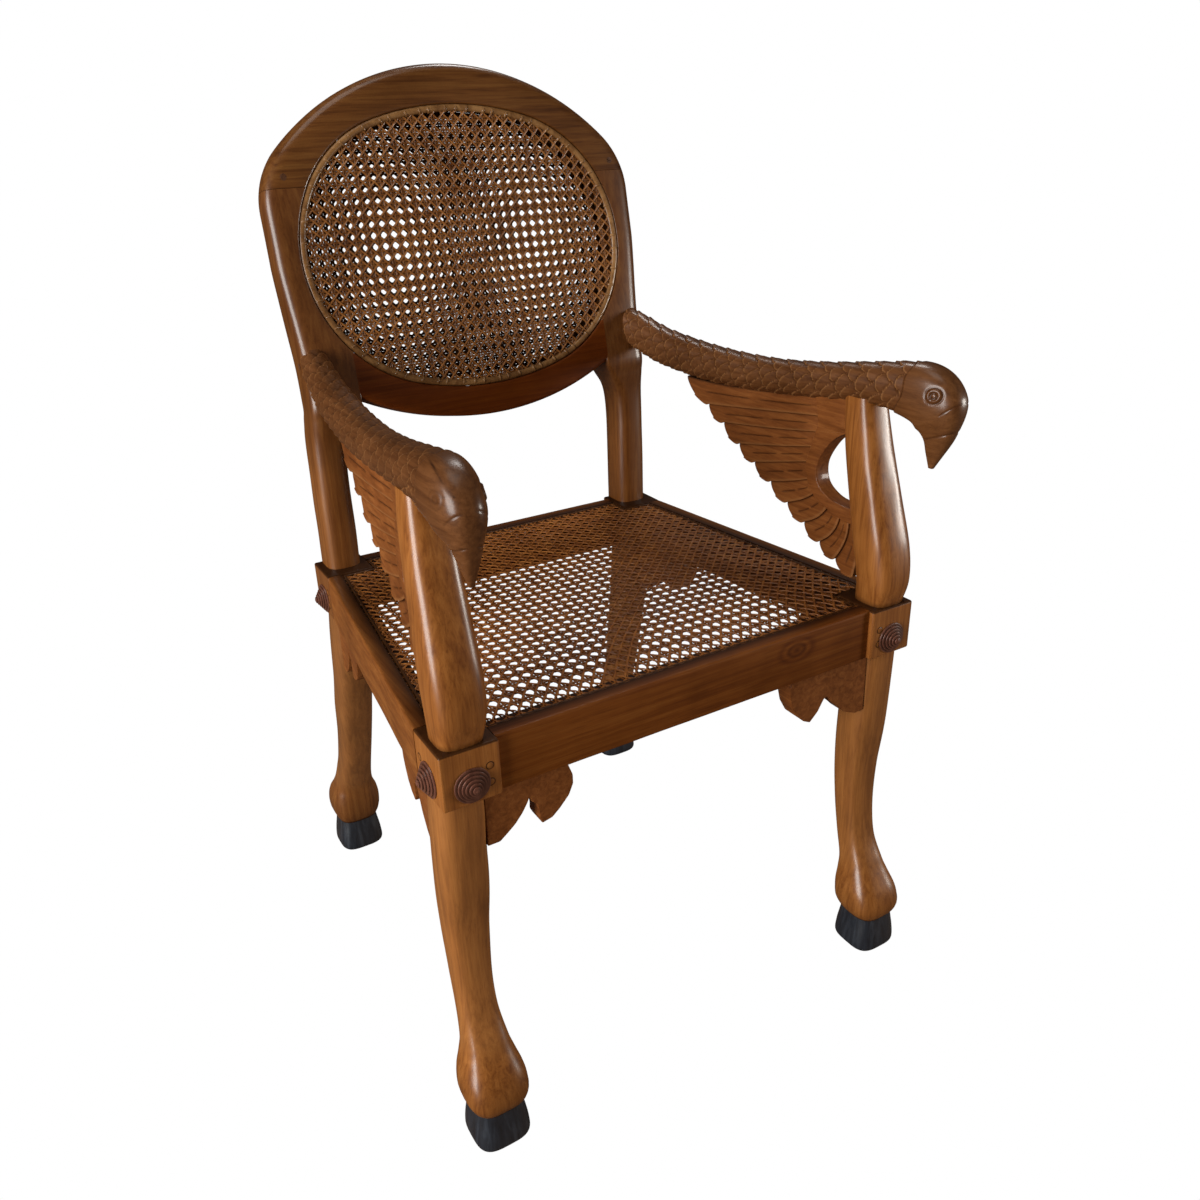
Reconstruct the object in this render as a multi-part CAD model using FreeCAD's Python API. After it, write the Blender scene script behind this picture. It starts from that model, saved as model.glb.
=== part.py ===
import FreeCAD, Part
import math
import os

Vector = FreeCAD.Vector

# Carved armchair with bird arms and cane panels. Sizes are in millimetres.
# X runs to the right seen from the front, the front faces minus Y, Z is up and the floor is at zero.
# Right hand pieces are modelled and the left hand ones are their mirror images.

# Degrees in a quarter turn
quarter_turn = 90.0
# Carved sections: chords in each rounded corner, and steps between two listed sections
corner_chords = 2
loft_steps = 2
# Chords in each cut arc of wing and bracket, and round the oval
arc_chords = 4
oval_chords = 56

# Seat frame
seat_height = 433.0
front_half_width = 262.5
back_half_width = 224.0
seat_half_depth = 230.0
block_size = 54.0
block_height = 54.0
block_edge = 2.0
rail_thickness = 30.0
front_rail_inset = 6.0
back_rail_inset = 9.0
tenon_thickness = 12.0
tenon_length = 20.0
tenon_shoulder = 9.0
overrun = 40.0

# Seat cane: the lip that stays outside it, its sunk ledge, its sheet and its binding strip
cane_lip = 16.0
cane_sink = 3.2
cane_thickness = 1.6
seat_binder_width = 6.0
cane_pitch = 37.0
cane_bar = 16.0
cane_margin = 12.0

# Hooves and legs
hoof_height = 42.0
hoof_half = 28.3
leg_half = 31.0
leg_corner_share = 0.62
front_leg_offset = 4.5
front_leg_spread = 1.5
front_leg_sweep = 24.0
back_leg_offset = 0.0
back_leg_spread = 9.5
back_leg_sweep = 81.0
# Height, sweep and half width of each section, as shares of rise, sweep and leg_half
front_leg_shares = (
    (0.000, -1.00, 0.80),
    (0.018, -1.00, 0.92),
    (0.039, -0.96, 1.00),
    (0.065, -0.90, 1.00),
    (0.098, -0.78, 0.945),
    (0.142, -0.58, 0.80),
    (0.187, -0.36, 0.68),
    (0.270, 0.10, 0.59),
    (0.389, 0.38, 0.60),
    (0.537, 0.46, 0.66),
    (0.715, 0.32, 0.73),
    (1.000, 0.12, 0.70),
)
back_leg_shares = (
    (0.000, 0.98, 0.80),
    (0.021, 0.99, 0.91),
    (0.047, 1.00, 0.98),
    (0.083, 1.00, 0.99),
    (0.119, 0.98, 0.92),
    (0.151, 0.93, 0.79),
    (0.187, 0.86, 0.71),
    (0.246, 0.75, 0.66),
    (0.332, 0.61, 0.63),
    (0.537, 0.39, 0.68),
    (0.772, 0.17, 0.72),
    (1.000, 0.05, 0.70),
)
# Height and half width of the hoof sections, as shares of hoof_height and hoof_half
hoof_shares = ((0.0, 0.97), (0.22, 1.0), (0.6, 0.93), (1.0, 0.83))

# Front posts, which are one timber with the front legs
post_offset = 1.5
post_rise = 207.0
post_half = 22.3
post_lean = 38.0
post_lean_in = 4.5
post_corner_share = 0.5
post_tenon_radius = 8.0
post_tenon_length = 16.0
post_shares = (
    (0.00, -0.10, 0.91),
    (0.12, -0.20, 1.02),
    (0.29, -0.06, 1.08),
    (0.53, 0.28, 1.00),
    (0.78, 0.62, 0.90),
    (1.00, 0.82, 0.77),
)

# Back ring: crest rail, lower rail and the stiles that are one timber with the back legs
back_rake = 12.1
back_rise = 240.0
back_plane_inset = 6.5
back_thickness = 38.0
oval_rise = 95.0
oval_half_height = 150.0
oval_end_share = 0.953
oval_ledge = 11.0
ring_inset = 6.0
ring_side = 26.5
ring_crown = 43.0
ring_shoulder_share = 0.45
ring_shoulder_rise_share = 0.27
ring_round = 9.0
crest_sections = 24
crest_joint_rise = 73.0
crest_tenon_width = 16.0
crest_tenon_length = 22.0
lower_joint_inset = 36.5
lower_joint_drop = 50.0
lower_rail_depth = 34.0
lower_rail_round = 5.0
lower_rail_sections = 12
lower_tenon_height = 22.0
back_binder_width = 8.0
stile_front_inset = 10.5
stile_inner_inset = 47.0
stile_corner = 8.0
joint_corner = 1.5
# Height from seat to ring, inward flare, outer edge, lean to the ring plane, depth in back_thickness
stile_neck_shares = (
    (0.00, 0.00, 0.986, 0.0, 1.18),
    (0.32, 0.00, 0.986, 0.0, 1.18),
    (0.60, 0.00, 0.982, 0.0, 1.20),
    (0.78, 0.15, 0.977, 0.05, 1.24),
    (0.90, 0.62, 0.973, 0.40, 1.28),
    (1.00, 1.00, 0.970, 1.0, 1.30),
)
# Height up the ring as a share of oval_rise, outer edge as a share of ring_half_width, and depth
stile_ring_shares = ((-0.10, 0.968, 1.30), (0.30, 0.978, 1.26), (0.64, 0.990, 1.14), (1.00, 1.000, 1.04))
# Height above the ring centre as a share of the way to the crest joint and past it
stile_top_shares = (0.4, 0.75, 1.15)

# Bird arms: each runs from its stile to the beak
arm_setback = 1.0
arm_sink = 2.0
arm_overhang = 87.0
arm_height = 43.0
arm_width = 38.0
arm_corner_share = 0.78
arm_tenon_radius = 9.0
arm_tenon_length = 24.0
arm_peg_past = 8.0
# Reach, lift, tilt, half height and half width, as shares of
# arm_reach, arm_height, a quarter turn, arm_height and arm_width
arm_shares = (
    (-0.080, 0.72, 0.13, 0.50, 0.38),
    (0.050, 0.40, 0.13, 0.50, 0.41),
    (0.163, 0.12, 0.09, 0.50, 0.46),
    (0.353, -0.04, 0.02, 0.475, 0.48),
    (0.535, 0.00, -0.03, 0.43, 0.49),
    (0.692, 0.16, -0.06, 0.43, 0.50),
    (0.847, 0.36, -0.05, 0.49, 0.53),
    (0.955, 0.35, 0.17, 0.66, 0.54),
    (1.000, 0.00, 0.53, 0.65, 0.47),
    (1.003, -0.49, 0.83, 0.39, 0.28),
    (0.995, -0.91, 1.00, 0.20, 0.16),
    (0.990, -1.24, 1.04, 0.06, 0.06),
)

# Wings: boards between arm and post with scalloped feather ends and an open eye
wing_thickness = 18.0
wing_top_share = 0.258
wing_top_drop = 20.0
wing_foot_height = 19.0
wing_feathers = 9
feather_tip = 6.5
feather_tip_share = 0.62
eye_radius = 37.0
eye_height_share = 0.616
eye_setback = 4.0
eye_sides = 32
wing_dowel_shares = (0.40, 0.72)

# Corner brackets under the rails, carved as a small bird head
bracket_length = 82.0
bracket_drop = 69.0
bracket_thickness = 20.0
bracket_inset = 9.0
bracket_let_in = 30.0
# Points out from the leg and down from the rail, as shares of bracket_length and bracket_drop
bracket_breast_shares = ((0.0, 1.0), (0.30, 0.70), (0.45, 0.32))
bracket_throat_shares = ((0.45, 0.32), (0.49, 0.41), (0.555, 0.445))
bracket_beak_shares = ((0.555, 0.445), (0.556, 0.663), (0.60, 0.752))
bracket_crown_shares = ((0.60, 0.752), (0.85, 0.616), (0.985, 0.325))
bracket_nape_shares = ((0.985, 0.325), (1.0, 0.154), (0.94, 0.0))

# Turned studs: rings from the wide foot to the tip
stud_radius = 16.5
stud_height = 11.0
stud_rings = 5
stud_sides = 12
stud_drop = 8.0
stud_shank_radius = 5.0
stud_shank_length = 14.0

# Pegs and dowels, whittled to eight sides
peg_radius = 3.6
peg_length = 24.0
peg_inset = 10.0
peg_gap = 16.0
peg_drop = 3.0
peg_proud = 0.6
dowel_radius = 4.0
dowel_length = 24.0
peg_sides = 8

# Worked out from the sizes above
block_bottom = seat_height - block_height
leg_rise = block_bottom - hoof_height
front_block_x = front_half_width - block_size / 2
back_block_x = back_half_width - block_size / 2
block_y = seat_half_depth - block_size / 2
inner_block_y = seat_half_depth - block_size
tenon_bottom = block_bottom + tenon_shoulder
tenon_top = seat_height - tenon_shoulder
cane_floor = seat_height - cane_sink
front_rail_y = -seat_half_depth + front_rail_inset + rail_thickness / 2
back_rail_y = seat_half_depth - back_rail_inset - rail_thickness / 2
side_rail_slope = (front_half_width - back_half_width) / (2 * inner_block_y)
post_top = seat_height + post_rise
post_x = front_block_x + post_offset
post_top_x = post_x - post_lean_in
post_top_y = -block_y + post_lean * post_shares[-1][1]
back_tilt = math.radians(back_rake)
back_plane_height = seat_height + back_rise
back_plane_depth = block_y - back_plane_inset
stile_front = block_y - stile_front_inset
stile_inner = back_half_width - stile_inner_inset
arm_back_x = back_block_x
arm_back_y = block_y + arm_setback
arm_datum = post_top - arm_sink
arm_splay = math.degrees(math.atan2(post_top_x - arm_back_x, arm_back_y - post_top_y))
arm_reach = math.hypot(post_top_x - arm_back_x, arm_back_y - post_top_y) + arm_overhang
wing_top_reach = arm_reach * wing_top_share
eye_height = post_rise * eye_height_share
# The oval is drawn from four centres, and the ring top from one top arc and two shoulder arcs
ring_half_width = back_half_width - ring_inset
oval_half_width = ring_half_width - ring_side
ring_half_height = oval_half_height + ring_crown
oval_end_radius = oval_half_height * oval_end_share
oval_end_x = oval_half_width - oval_end_radius
oval_top_radius = (oval_end_x ** 2 + oval_half_height ** 2 - oval_end_radius ** 2) / (
    2 * (oval_half_height - oval_end_radius))
ring_shoulder_radius = ring_half_height * ring_shoulder_share
shoulder_x = ring_half_width - ring_shoulder_radius
shoulder_rise = ring_half_height * ring_shoulder_rise_share
shoulder_drop = ring_half_height - shoulder_rise
ring_top_radius = (shoulder_x ** 2 + shoulder_drop ** 2 - ring_shoulder_radius ** 2) / (
    2 * (shoulder_drop - ring_shoulder_radius))
crest_joint = oval_rise + crest_joint_rise
lower_joint_half = oval_half_width - lower_joint_inset
lower_rail_drop = oval_half_height - oval_rise + lower_rail_depth


def mirrored(shape):
    return shape.mirror(Vector(0, 0, 0), Vector(1, 0, 0))


def both(shapes):
    return list(shapes) + [mirrored(shape) for shape in shapes]


def cut_all(body, tools):
    return body.cut(list(tools)).removeSplitter()


def box_between(x0, x1, y0, y1, z0, z1):
    return Part.makeBox(x1 - x0, y1 - y0, z1 - z0, Vector(x0, y0, z0))


def section(x0, x1, y0, y1, inner, outer, z):
    # Rounded rectangle in chords, with the inner radius at x0 and the outer one at x1
    corners = (
        (x1 - outer, y0 + outer, outer, -1),
        (x1 - outer, y1 - outer, outer, 0),
        (x0 + inner, y1 - inner, inner, 1),
        (x0 + inner, y0 + inner, inner, 2),
    )
    points = []
    for x, y, radius, quarter in corners:
        for chord in range(corner_chords + 1):
            angle = math.radians(quarter_turn * (quarter + chord / corner_chords))
            points.append(Vector(x + radius * math.cos(angle), y + radius * math.sin(angle), z))
    return points


def square_section(x, y, z, half, corner_share):
    corner = half * corner_share
    return section(x - half, x + half, y - half, y + half, corner, corner, z)


def eased(rows):
    # Rows between the listed ones, on a smooth curve through all of them
    result = []
    last = len(rows) - 1
    for index in range(last):
        before, here = rows[max(index - 1, 0)], rows[index]
        there, after = rows[index + 1], rows[min(index + 2, last)]
        for step in range(loft_steps):
            t = step / loft_steps
            row = []
            for a, b, c, d in zip(before, here, there, after):
                bend = 2 * a - 5 * b + 4 * c - d + (3 * (b - c) + d - a) * t
                row.append(b + t * (c - a + bend * t) / 2)
            result.append(tuple(row))
    return result + [tuple(rows[-1])]


def facet(points):
    return Part.Face(Part.makePolygon(points + points[:1]))


def loft(rings):
    # Carved solid through rings of points, with flat facets between one ring and the next
    faces = [facet(rings[0]), facet(rings[-1])]
    for low, high in zip(rings, rings[1:]):
        for here in range(len(low)):
            there = (here + 1) % len(low)
            faces.append(facet([low[here], low[there], high[there]]))
            faces.append(facet([low[here], high[there], high[here]]))
    body = Part.makeSolid(Part.makeShell(faces)).removeSplitter()
    return body if body.Volume > 0 else body.reversed()


def prism(points, z0, z1):
    return facet([Vector(x, y, z0) for x, y in points]).extrude(Vector(0, 0, z1 - z0))


def around(start, axis, radius, sides):
    # Points evenly round an axis
    side = axis.cross(Vector(0, 0, 1))
    if side.Length < axis.Length / 2:
        side = axis.cross(Vector(0, 1, 0))
    side = side.normalize()
    other = Vector(axis).normalize().cross(side)
    turns = [2 * math.pi * step / sides for step in range(sides)]
    return [start + side * radius * math.cos(turn) + other * radius * math.sin(turn) for turn in turns]


def eight_sided(start, axis, radius, length):
    return facet(around(start, axis, radius, peg_sides)).extrude(axis * length)


def in_back_plane(shape):
    # From x, depth, height in the ring plane to the raked place on the chair
    placed = shape.copy()
    placed.rotate(Vector(0, 0, 0), Vector(1, 0, 0), -back_rake)
    placed.translate(Vector(0, back_plane_depth, back_plane_height))
    return placed


def in_arm_plane(shape):
    # From the plane x = 0, with the arm along minus Y from zero, to the splayed right arm
    placed = shape.copy()
    placed.rotate(Vector(0, 0, 0), Vector(0, 0, 1), arm_splay)
    placed.translate(Vector(arm_back_x, arm_back_y, 0))
    return placed


def arc_points(points):
    # Chords of the arc through three points, up to its last point
    arc = Part.Arc(*points)
    length = arc.LastParameter - arc.FirstParameter
    return [arc.value(arc.FirstParameter + length * step / arc_chords) for step in range(arc_chords)]


def arc_reach(angle, side_x, side_z, side_radius, top_radius, crown):
    # From the ring centre out to its side arc or, higher up, to its top arc
    across = abs(math.cos(angle))
    up = abs(math.sin(angle))
    top_z = crown - top_radius
    lean = math.atan2(side_x, side_z - top_z)
    x, z, radius = side_x, side_z, side_radius
    if up * top_radius * math.sin(lean) > across * (top_z + top_radius * math.cos(lean)):
        x, z, radius = 0, top_z, top_radius
    along = x * across + z * up
    return along + math.sqrt(radius ** 2 - x ** 2 - z ** 2 + along ** 2)


def oval_reach(angle, inset):
    return arc_reach(angle, oval_end_x, 0, oval_end_radius - inset,
                     oval_top_radius - inset, oval_half_height - inset)


def ring_reach(angle):
    return arc_reach(angle, shoulder_x, shoulder_rise, ring_shoulder_radius,
                     ring_top_radius, ring_half_height)


def oval_points(inset):
    # Four centred oval about the ring centre, drawn in from its full size
    points = []
    for step in range(oval_chords):
        angle = 2 * math.pi * step / oval_chords
        reach = oval_reach(angle, inset)
        points.append(Vector(reach * math.cos(angle), 0, oval_rise + reach * math.sin(angle)))
    return points


def oval_prism(inset, front, back):
    face = facet(oval_points(inset))
    face.translate(Vector(0, front, 0))
    return in_back_plane(face.extrude(Vector(0, back - front, 0)))


def ring_edge_at(rise):
    # Half width of the ring outline at a height above its widest line
    up = max(rise - shoulder_rise, 0)
    return shoulder_x + math.sqrt(ring_shoulder_radius ** 2 - up ** 2)


def oval_edge_at(rise):
    # Half width of the oval on its end arcs
    return oval_end_x + math.sqrt(oval_end_radius ** 2 - rise ** 2)


def ring_openings():
    through = oval_prism(oval_ledge, -overrun, back_thickness + overrun)
    front_ledge = oval_prism(0, -overrun, cane_sink)
    rear_ledge = oval_prism(0, back_thickness - cane_sink, back_thickness + overrun)
    return [through, front_ledge, rear_ledge]


def leg_sections(shares, x, y, offset, spread, sweep):
    rings = []
    for height, bend, width in eased(shares):
        place_x = x + offset + spread * (1 - height)
        place_z = hoof_height + leg_rise * height
        rings.append(square_section(place_x, y + sweep * bend, place_z, leg_half * width, leg_corner_share))
    return rings


def leg_block(x, y):
    half = block_size / 2
    block = box_between(x - half, x + half, y - half, y + half, block_bottom, seat_height)
    upright = [e for e in block.Edges if abs(e.tangentAt(e.FirstParameter).z) > 0.5]
    return block.makeChamfer(block_edge, upright)


def front_leg():
    leg = loft(leg_sections(front_leg_shares, front_block_x, -block_y,
                            front_leg_offset, front_leg_spread, front_leg_sweep))
    rings = []
    for height, lean, width in eased(post_shares):
        x = post_x - post_lean_in * height
        y = -block_y + post_lean * lean
        z = seat_height + post_rise * height
        rings.append(square_section(x, y, z, post_half * width, post_corner_share))
    post = loft(rings)
    tenon = eight_sided(Vector(post_top_x, post_top_y, post_top), Vector(0, 0, 1),
                        post_tenon_radius, post_tenon_length)
    return leg.fuse([leg_block(front_block_x, -block_y), post, tenon]).removeSplitter()


def ring_front(height):
    return back_plane_depth + (height - back_plane_height) * math.tan(back_tilt)


def stile():
    # Height, inner edge, outer edge, front, inner corner and depth of each section
    rows = []
    joint_z = back_plane_height - lower_joint_drop * math.cos(back_tilt)
    for height, flare, edge, blend, deep in stile_neck_shares:
        z = seat_height + (joint_z - seat_height) * height
        inner = stile_inner + (lower_joint_half - stile_inner) * flare
        front = stile_front + (ring_front(z) - stile_front) * blend
        corner = stile_corner + (joint_corner - stile_corner) * flare
        rows.append((z, inner, ring_half_width * edge, front, corner, deep))
    for share, edge, deep in stile_ring_shares:
        z = back_plane_height + oval_rise * share * math.cos(back_tilt)
        rows.append((z, lower_joint_half, ring_half_width * edge, ring_front(z), joint_corner, deep))
    for share in stile_top_shares:
        rise = (crest_joint - oval_rise) * share
        z = back_plane_height + (oval_rise + rise) * math.cos(back_tilt)
        rows.append((z, lower_joint_half, ring_edge_at(rise), ring_front(z), joint_corner, 1))
    depth = back_thickness / math.cos(back_tilt)
    rings = [section(inner, outer, front, front + depth * deep, corner, stile_corner, z)
             for z, inner, outer, front, corner, deep in eased(rows)]
    above = box_between(-overrun, ring_half_width + overrun, -overrun, back_thickness + overrun,
                        crest_joint, crest_joint + ring_half_height)
    return cut_all(loft(rings), ring_openings() + [in_back_plane(above)])


def crest_tenon():
    rise = crest_joint - oval_rise
    middle = (oval_edge_at(rise) + ring_edge_at(rise)) / 2
    half = crest_tenon_width / 2
    depth = (back_thickness - tenon_thickness) / 2
    tenon = box_between(middle - half, middle + half, depth, depth + tenon_thickness,
                        crest_joint, crest_joint + crest_tenon_length)
    return in_back_plane(tenon)


def crest_peg():
    start = crest_tenon().BoundBox.Center
    front = Vector(0, -math.cos(back_tilt), math.sin(back_tilt))
    return eight_sided(start + front * back_thickness / 2, -front, peg_radius, peg_length)


def back_leg():
    leg = loft(leg_sections(back_leg_shares, back_block_x, block_y,
                            back_leg_offset, back_leg_spread, back_leg_sweep))
    timber = leg.fuse([leg_block(back_block_x, block_y), stile(), crest_tenon()])
    return timber.removeSplitter()


def crest_rail():
    # Sections turn about the ring centre from just below one joint to just below the other
    first = math.atan2(crest_joint - oval_rise, ring_half_width + oval_ledge)
    rings = []
    for step in range(crest_sections + 1):
        angle = first + (math.pi - 2 * first) * step / crest_sections
        turn = FreeCAD.Rotation(Vector(0, -1, 0), math.degrees(angle))
        outer = ring_reach(angle)
        ring = section(oval_half_height / 2, outer, 0, back_thickness, joint_corner, ring_round, 0)
        rings.append([turn.multVec(point) + Vector(0, 0, oval_rise) for point in ring])
    below = box_between(-ring_half_width - overrun, ring_half_width + overrun, -overrun,
                        back_thickness + overrun, -ring_half_height, crest_joint)
    board = in_back_plane(loft(rings).cut(below))
    return cut_all(board, ring_openings())


def lower_rail():
    # Sections along the rail, whose lower edge is an arc between the stile joints
    sag = lower_rail_drop - lower_joint_drop
    radius = (lower_joint_half ** 2 + sag ** 2) / (2 * sag)
    rings = []
    for step in range(lower_rail_sections + 1):
        x = lower_joint_half * (2 * step / lower_rail_sections - 1)
        low = -lower_rail_drop + radius - math.sqrt(radius ** 2 - x ** 2)
        ring = section(low, oval_rise, 0, back_thickness, lower_rail_round, joint_corner, 0)
        rings.append([Vector(x, point.y, point.x) for point in ring])
    board = cut_all(in_back_plane(loft(rings)), ring_openings())
    return board.fuse(both([lower_tenon()])).removeSplitter()


def lower_tenon():
    depth = (back_thickness - tenon_thickness) / 2
    top = -lower_joint_drop + tenon_shoulder + lower_tenon_height
    tenon = box_between(lower_joint_half, lower_joint_half + tenon_length, depth, depth + tenon_thickness,
                        -lower_joint_drop + tenon_shoulder, top)
    return in_back_plane(tenon)


def seat_rail_x(y):
    # Outer face of the right side rail at a depth
    return front_half_width - side_rail_slope * (y + inner_block_y)


def cane_outline(inset):
    # Seat panel outline on the right, from front to back, notched round the leg blocks
    front_in = front_half_width - block_size - inset
    back_in = back_half_width - block_size - inset
    front_y = -seat_half_depth + front_rail_inset + cane_lip + inset
    back_y = seat_half_depth - back_rail_inset - cane_lip - inset
    side_y = inner_block_y - inset
    side = cane_lip + inset
    right = [(front_in, front_y), (front_in, -side_y), (seat_rail_x(-side_y) - side, -side_y),
             (seat_rail_x(side_y) - side, side_y), (back_in, side_y), (back_in, back_y)]
    return right + [(-x, y) for x, y in reversed(right)]


def cane_recess():
    return prism(cane_outline(0), cane_floor, seat_height + overrun)


def side_tenon(end):
    # Tenon of the right side rail at the front (minus one) or back (plus one) block
    middle = seat_rail_x(end * inner_block_y) - rail_thickness / 2
    half = tenon_thickness / 2
    near, far = sorted((end * inner_block_y, end * (inner_block_y + tenon_length)))
    return box_between(middle - half, middle + half, near, far, tenon_bottom, tenon_top)


def cross_tenon(y, block_inner):
    # Tenon of the front or back rail in the right block
    half = tenon_thickness / 2
    return box_between(block_inner, block_inner + tenon_length, y - half, y + half, tenon_bottom, tenon_top)


def side_rail():
    points = []
    for y in (-inner_block_y, inner_block_y):
        points.append((seat_rail_x(y), y))
    for y in (inner_block_y, -inner_block_y):
        points.append((seat_rail_x(y) - rail_thickness, y))
    board = prism(points, block_bottom, seat_height).cut(cane_recess())
    return board.fuse([side_tenon(-1), side_tenon(1)]).removeSplitter()


def cross_rail(y, block_inner):
    half = rail_thickness / 2
    board = box_between(-block_inner, block_inner, y - half, y + half, block_bottom, seat_height)
    tenons = both([cross_tenon(y, block_inner)])
    return board.cut(cane_recess()).fuse(tenons).removeSplitter()


def hoof(x, y):
    rings = []
    for height, width in eased(hoof_shares):
        rings.append(square_section(x, y, hoof_height * height, hoof_half * width, leg_corner_share))
    return loft(rings)


def foot_place(shares, x, y, offset, spread, sweep):
    return Vector(x + offset + spread, y + sweep * shares[0][1], 0)


def arm_body():
    rings = []
    for reach, lift, tilt, height, width in eased(arm_shares):
        half_width = arm_width * width
        half_height = arm_height * height
        corner = min(half_width, half_height) * arm_corner_share
        turn = FreeCAD.Rotation(Vector(1, 0, 0), quarter_turn * (1 + tilt))
        centre = Vector(0, -arm_reach * reach, arm_datum + arm_height * lift)
        ring = section(-half_width, half_width, -half_height, half_height, corner, corner, 0)
        rings.append([turn.multVec(point) + centre for point in ring])
    return in_arm_plane(loft(rings))


def arm_tenon():
    height = arm_datum + arm_height * (arm_shares[0][1] + arm_shares[1][1]) / 2
    start = Vector(0, -tenon_length, height)
    rod = eight_sided(start, Vector(0, 1, 0), arm_tenon_radius, tenon_length + arm_tenon_length)
    return in_arm_plane(rod)


def wing_board():
    top = Vector(0, -wing_top_reach, arm_datum - wing_top_drop)
    front_reach = arm_back_y + block_y
    foot = Vector(0, -front_reach + post_half, seat_height + wing_foot_height)
    step = (foot - top) / wing_feathers
    out = Vector(0, step.z, -step.y).normalize() * -feather_tip
    points = []
    for feather in range(wing_feathers):
        start = top + step * feather
        points += arc_points((start, start + step * feather_tip_share + out, start + step))
    front_foot = Vector(0, -front_reach, foot.z)
    front_top = Vector(0, post_top_y - arm_back_y, post_top)
    back_top = Vector(0, -wing_top_reach, post_top)
    board = facet(points + [foot, front_foot, front_top, back_top]).extrude(Vector(wing_thickness, 0, 0))
    board.translate(Vector(-wing_thickness / 2, 0, 0))
    return in_arm_plane(board)


def wing_eye():
    post_back = post_top_y + post_half * post_shares[-2][2]
    reach = arm_back_y - post_back + eye_setback
    start = Vector(-wing_thickness, -reach, seat_height + eye_height)
    hole = facet(around(start, Vector(1, 0, 0), eye_radius, eye_sides))
    return in_arm_plane(hole.extrude(Vector(2 * wing_thickness, 0, 0)))


def wing_dowels():
    rods = []
    for share in wing_dowel_shares:
        reach = wing_top_reach + (arm_back_y - post_top_y - wing_top_reach) * share
        start = Vector(0, -reach, arm_datum - wing_top_drop - dowel_length / 2)
        rods.append(in_arm_plane(eight_sided(start, Vector(0, 0, 1), dowel_radius, dowel_length)))
    return rods


def bracket():
    # In the plane y = 0, out along minus X from the leg at zero and down from the rail at zero
    def place(shares):
        return [Vector(-bracket_length * out, 0, -bracket_drop * down) for out, down in shares]

    points = arc_points(place(bracket_breast_shares)) + arc_points(place(bracket_throat_shares))
    points += place(bracket_beak_shares)[:-1]
    points += arc_points(place(bracket_crown_shares)) + arc_points(place(bracket_nape_shares))
    inside = Vector(bracket_let_in, 0, 0)
    foot = points[0]
    crown = place(bracket_nape_shares)[-1]
    return facet(points + [crown, inside, inside + foot]).extrude(Vector(0, bracket_thickness, 0))


def bracket_dowel(x, y):
    start = Vector(x, y, block_bottom - dowel_length / 2)
    return eight_sided(start, Vector(0, 0, 1), dowel_radius, dowel_length)


def stud(place, outward):
    # Radius and height of each edge, from the end of the shank to the tip
    edges = [(stud_shank_radius, -stud_shank_length), (stud_shank_radius, 0), (stud_radius, 0)]
    rise = stud_height / stud_rings
    shrink = stud_radius / (stud_rings + 1)
    for ring in range(stud_rings):
        radius = stud_radius - shrink * ring
        edges += [(radius, rise * (ring + 1)), (radius - shrink, rise * (ring + 1))]
    return loft([around(place + outward * height, outward, radius, stud_sides) for radius, height in edges])


def rail_pegs():
    # Right hand pegs through the tenons: front face, outer side faces and back face
    pegs = []
    front_peg_x = front_half_width - block_size + peg_inset
    back_peg_x = back_half_width - block_size + peg_inset
    middle = (tenon_bottom + tenon_top) / 2 - peg_drop
    for z in (middle - peg_gap / 2, middle + peg_gap / 2):
        for x, y, inward in ((front_peg_x, -seat_half_depth, Vector(0, 1, 0)),
                             (back_peg_x, seat_half_depth, Vector(0, -1, 0)),
                             (front_half_width, -inner_block_y - peg_inset, Vector(-1, 0, 0)),
                             (back_half_width, inner_block_y + peg_inset, Vector(-1, 0, 0))):
            pegs.append(eight_sided(Vector(x, y, z), inward, peg_radius, peg_length))
    return pegs


def lattice(inside, half_x, low, high):
    # Square gaps of one net, kept where the whole gap lies inside the panel
    gap = (cane_pitch - cane_bar) / 2
    columns = int(half_x / cane_pitch)
    rows = int((high - low) / cane_pitch / 2)
    squares = []
    for column in range(-columns, columns + 1):
        for row in range(-rows, rows + 1):
            x = column * cane_pitch
            y = (low + high) / 2 + row * cane_pitch
            corners = [(x - gap, y - gap), (x + gap, y - gap), (x + gap, y + gap), (x - gap, y + gap)]
            if all(inside(*corner) for corner in corners):
                squares.append(corners)
    return squares


def seat_cane():
    outline = cane_outline(0)
    front_y = min(y for x, y in outline)
    back_y = max(y for x, y in outline)

    def inside(x, y):
        clear = seat_rail_x(y) - rail_thickness - cane_margin
        return abs(x) < clear and front_y + 2 * cane_margin < y < back_y - 2 * cane_margin

    sheet = prism(outline, cane_floor, cane_floor + cane_thickness)
    gaps = [prism(corners, cane_floor, cane_floor + cane_thickness)
            for corners in lattice(inside, front_half_width, front_y, back_y)]
    return sheet.cut(gaps)


def seat_binder():
    floor = cane_floor + cane_thickness
    strip = prism(cane_outline(0), floor, seat_height)
    return strip.cut(prism(cane_outline(seat_binder_width), floor, seat_height))


def back_cane(depth):
    # One woven sheet of the back, which is caned on its front and on its rear
    inset = oval_ledge + cane_margin

    def inside(x, z):
        up = abs(z - oval_rise)
        on_end = math.hypot(max(abs(x) - oval_end_x, 0), up) < oval_end_radius - inset
        return on_end and up < oval_half_height - inset and abs(x) < oval_half_width - inset

    sheet = oval_prism(0, depth, depth + cane_thickness)
    gaps = []
    low = oval_rise - oval_half_height
    high = oval_rise + oval_half_height
    for corners in lattice(inside, oval_half_width, low, high):
        (x0, z0), (x1, z1) = corners[0], corners[2]
        gaps.append(in_back_plane(box_between(x0, x1, -overrun, back_thickness + overrun, z0, z1)))
    return sheet.cut(gaps)


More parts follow.
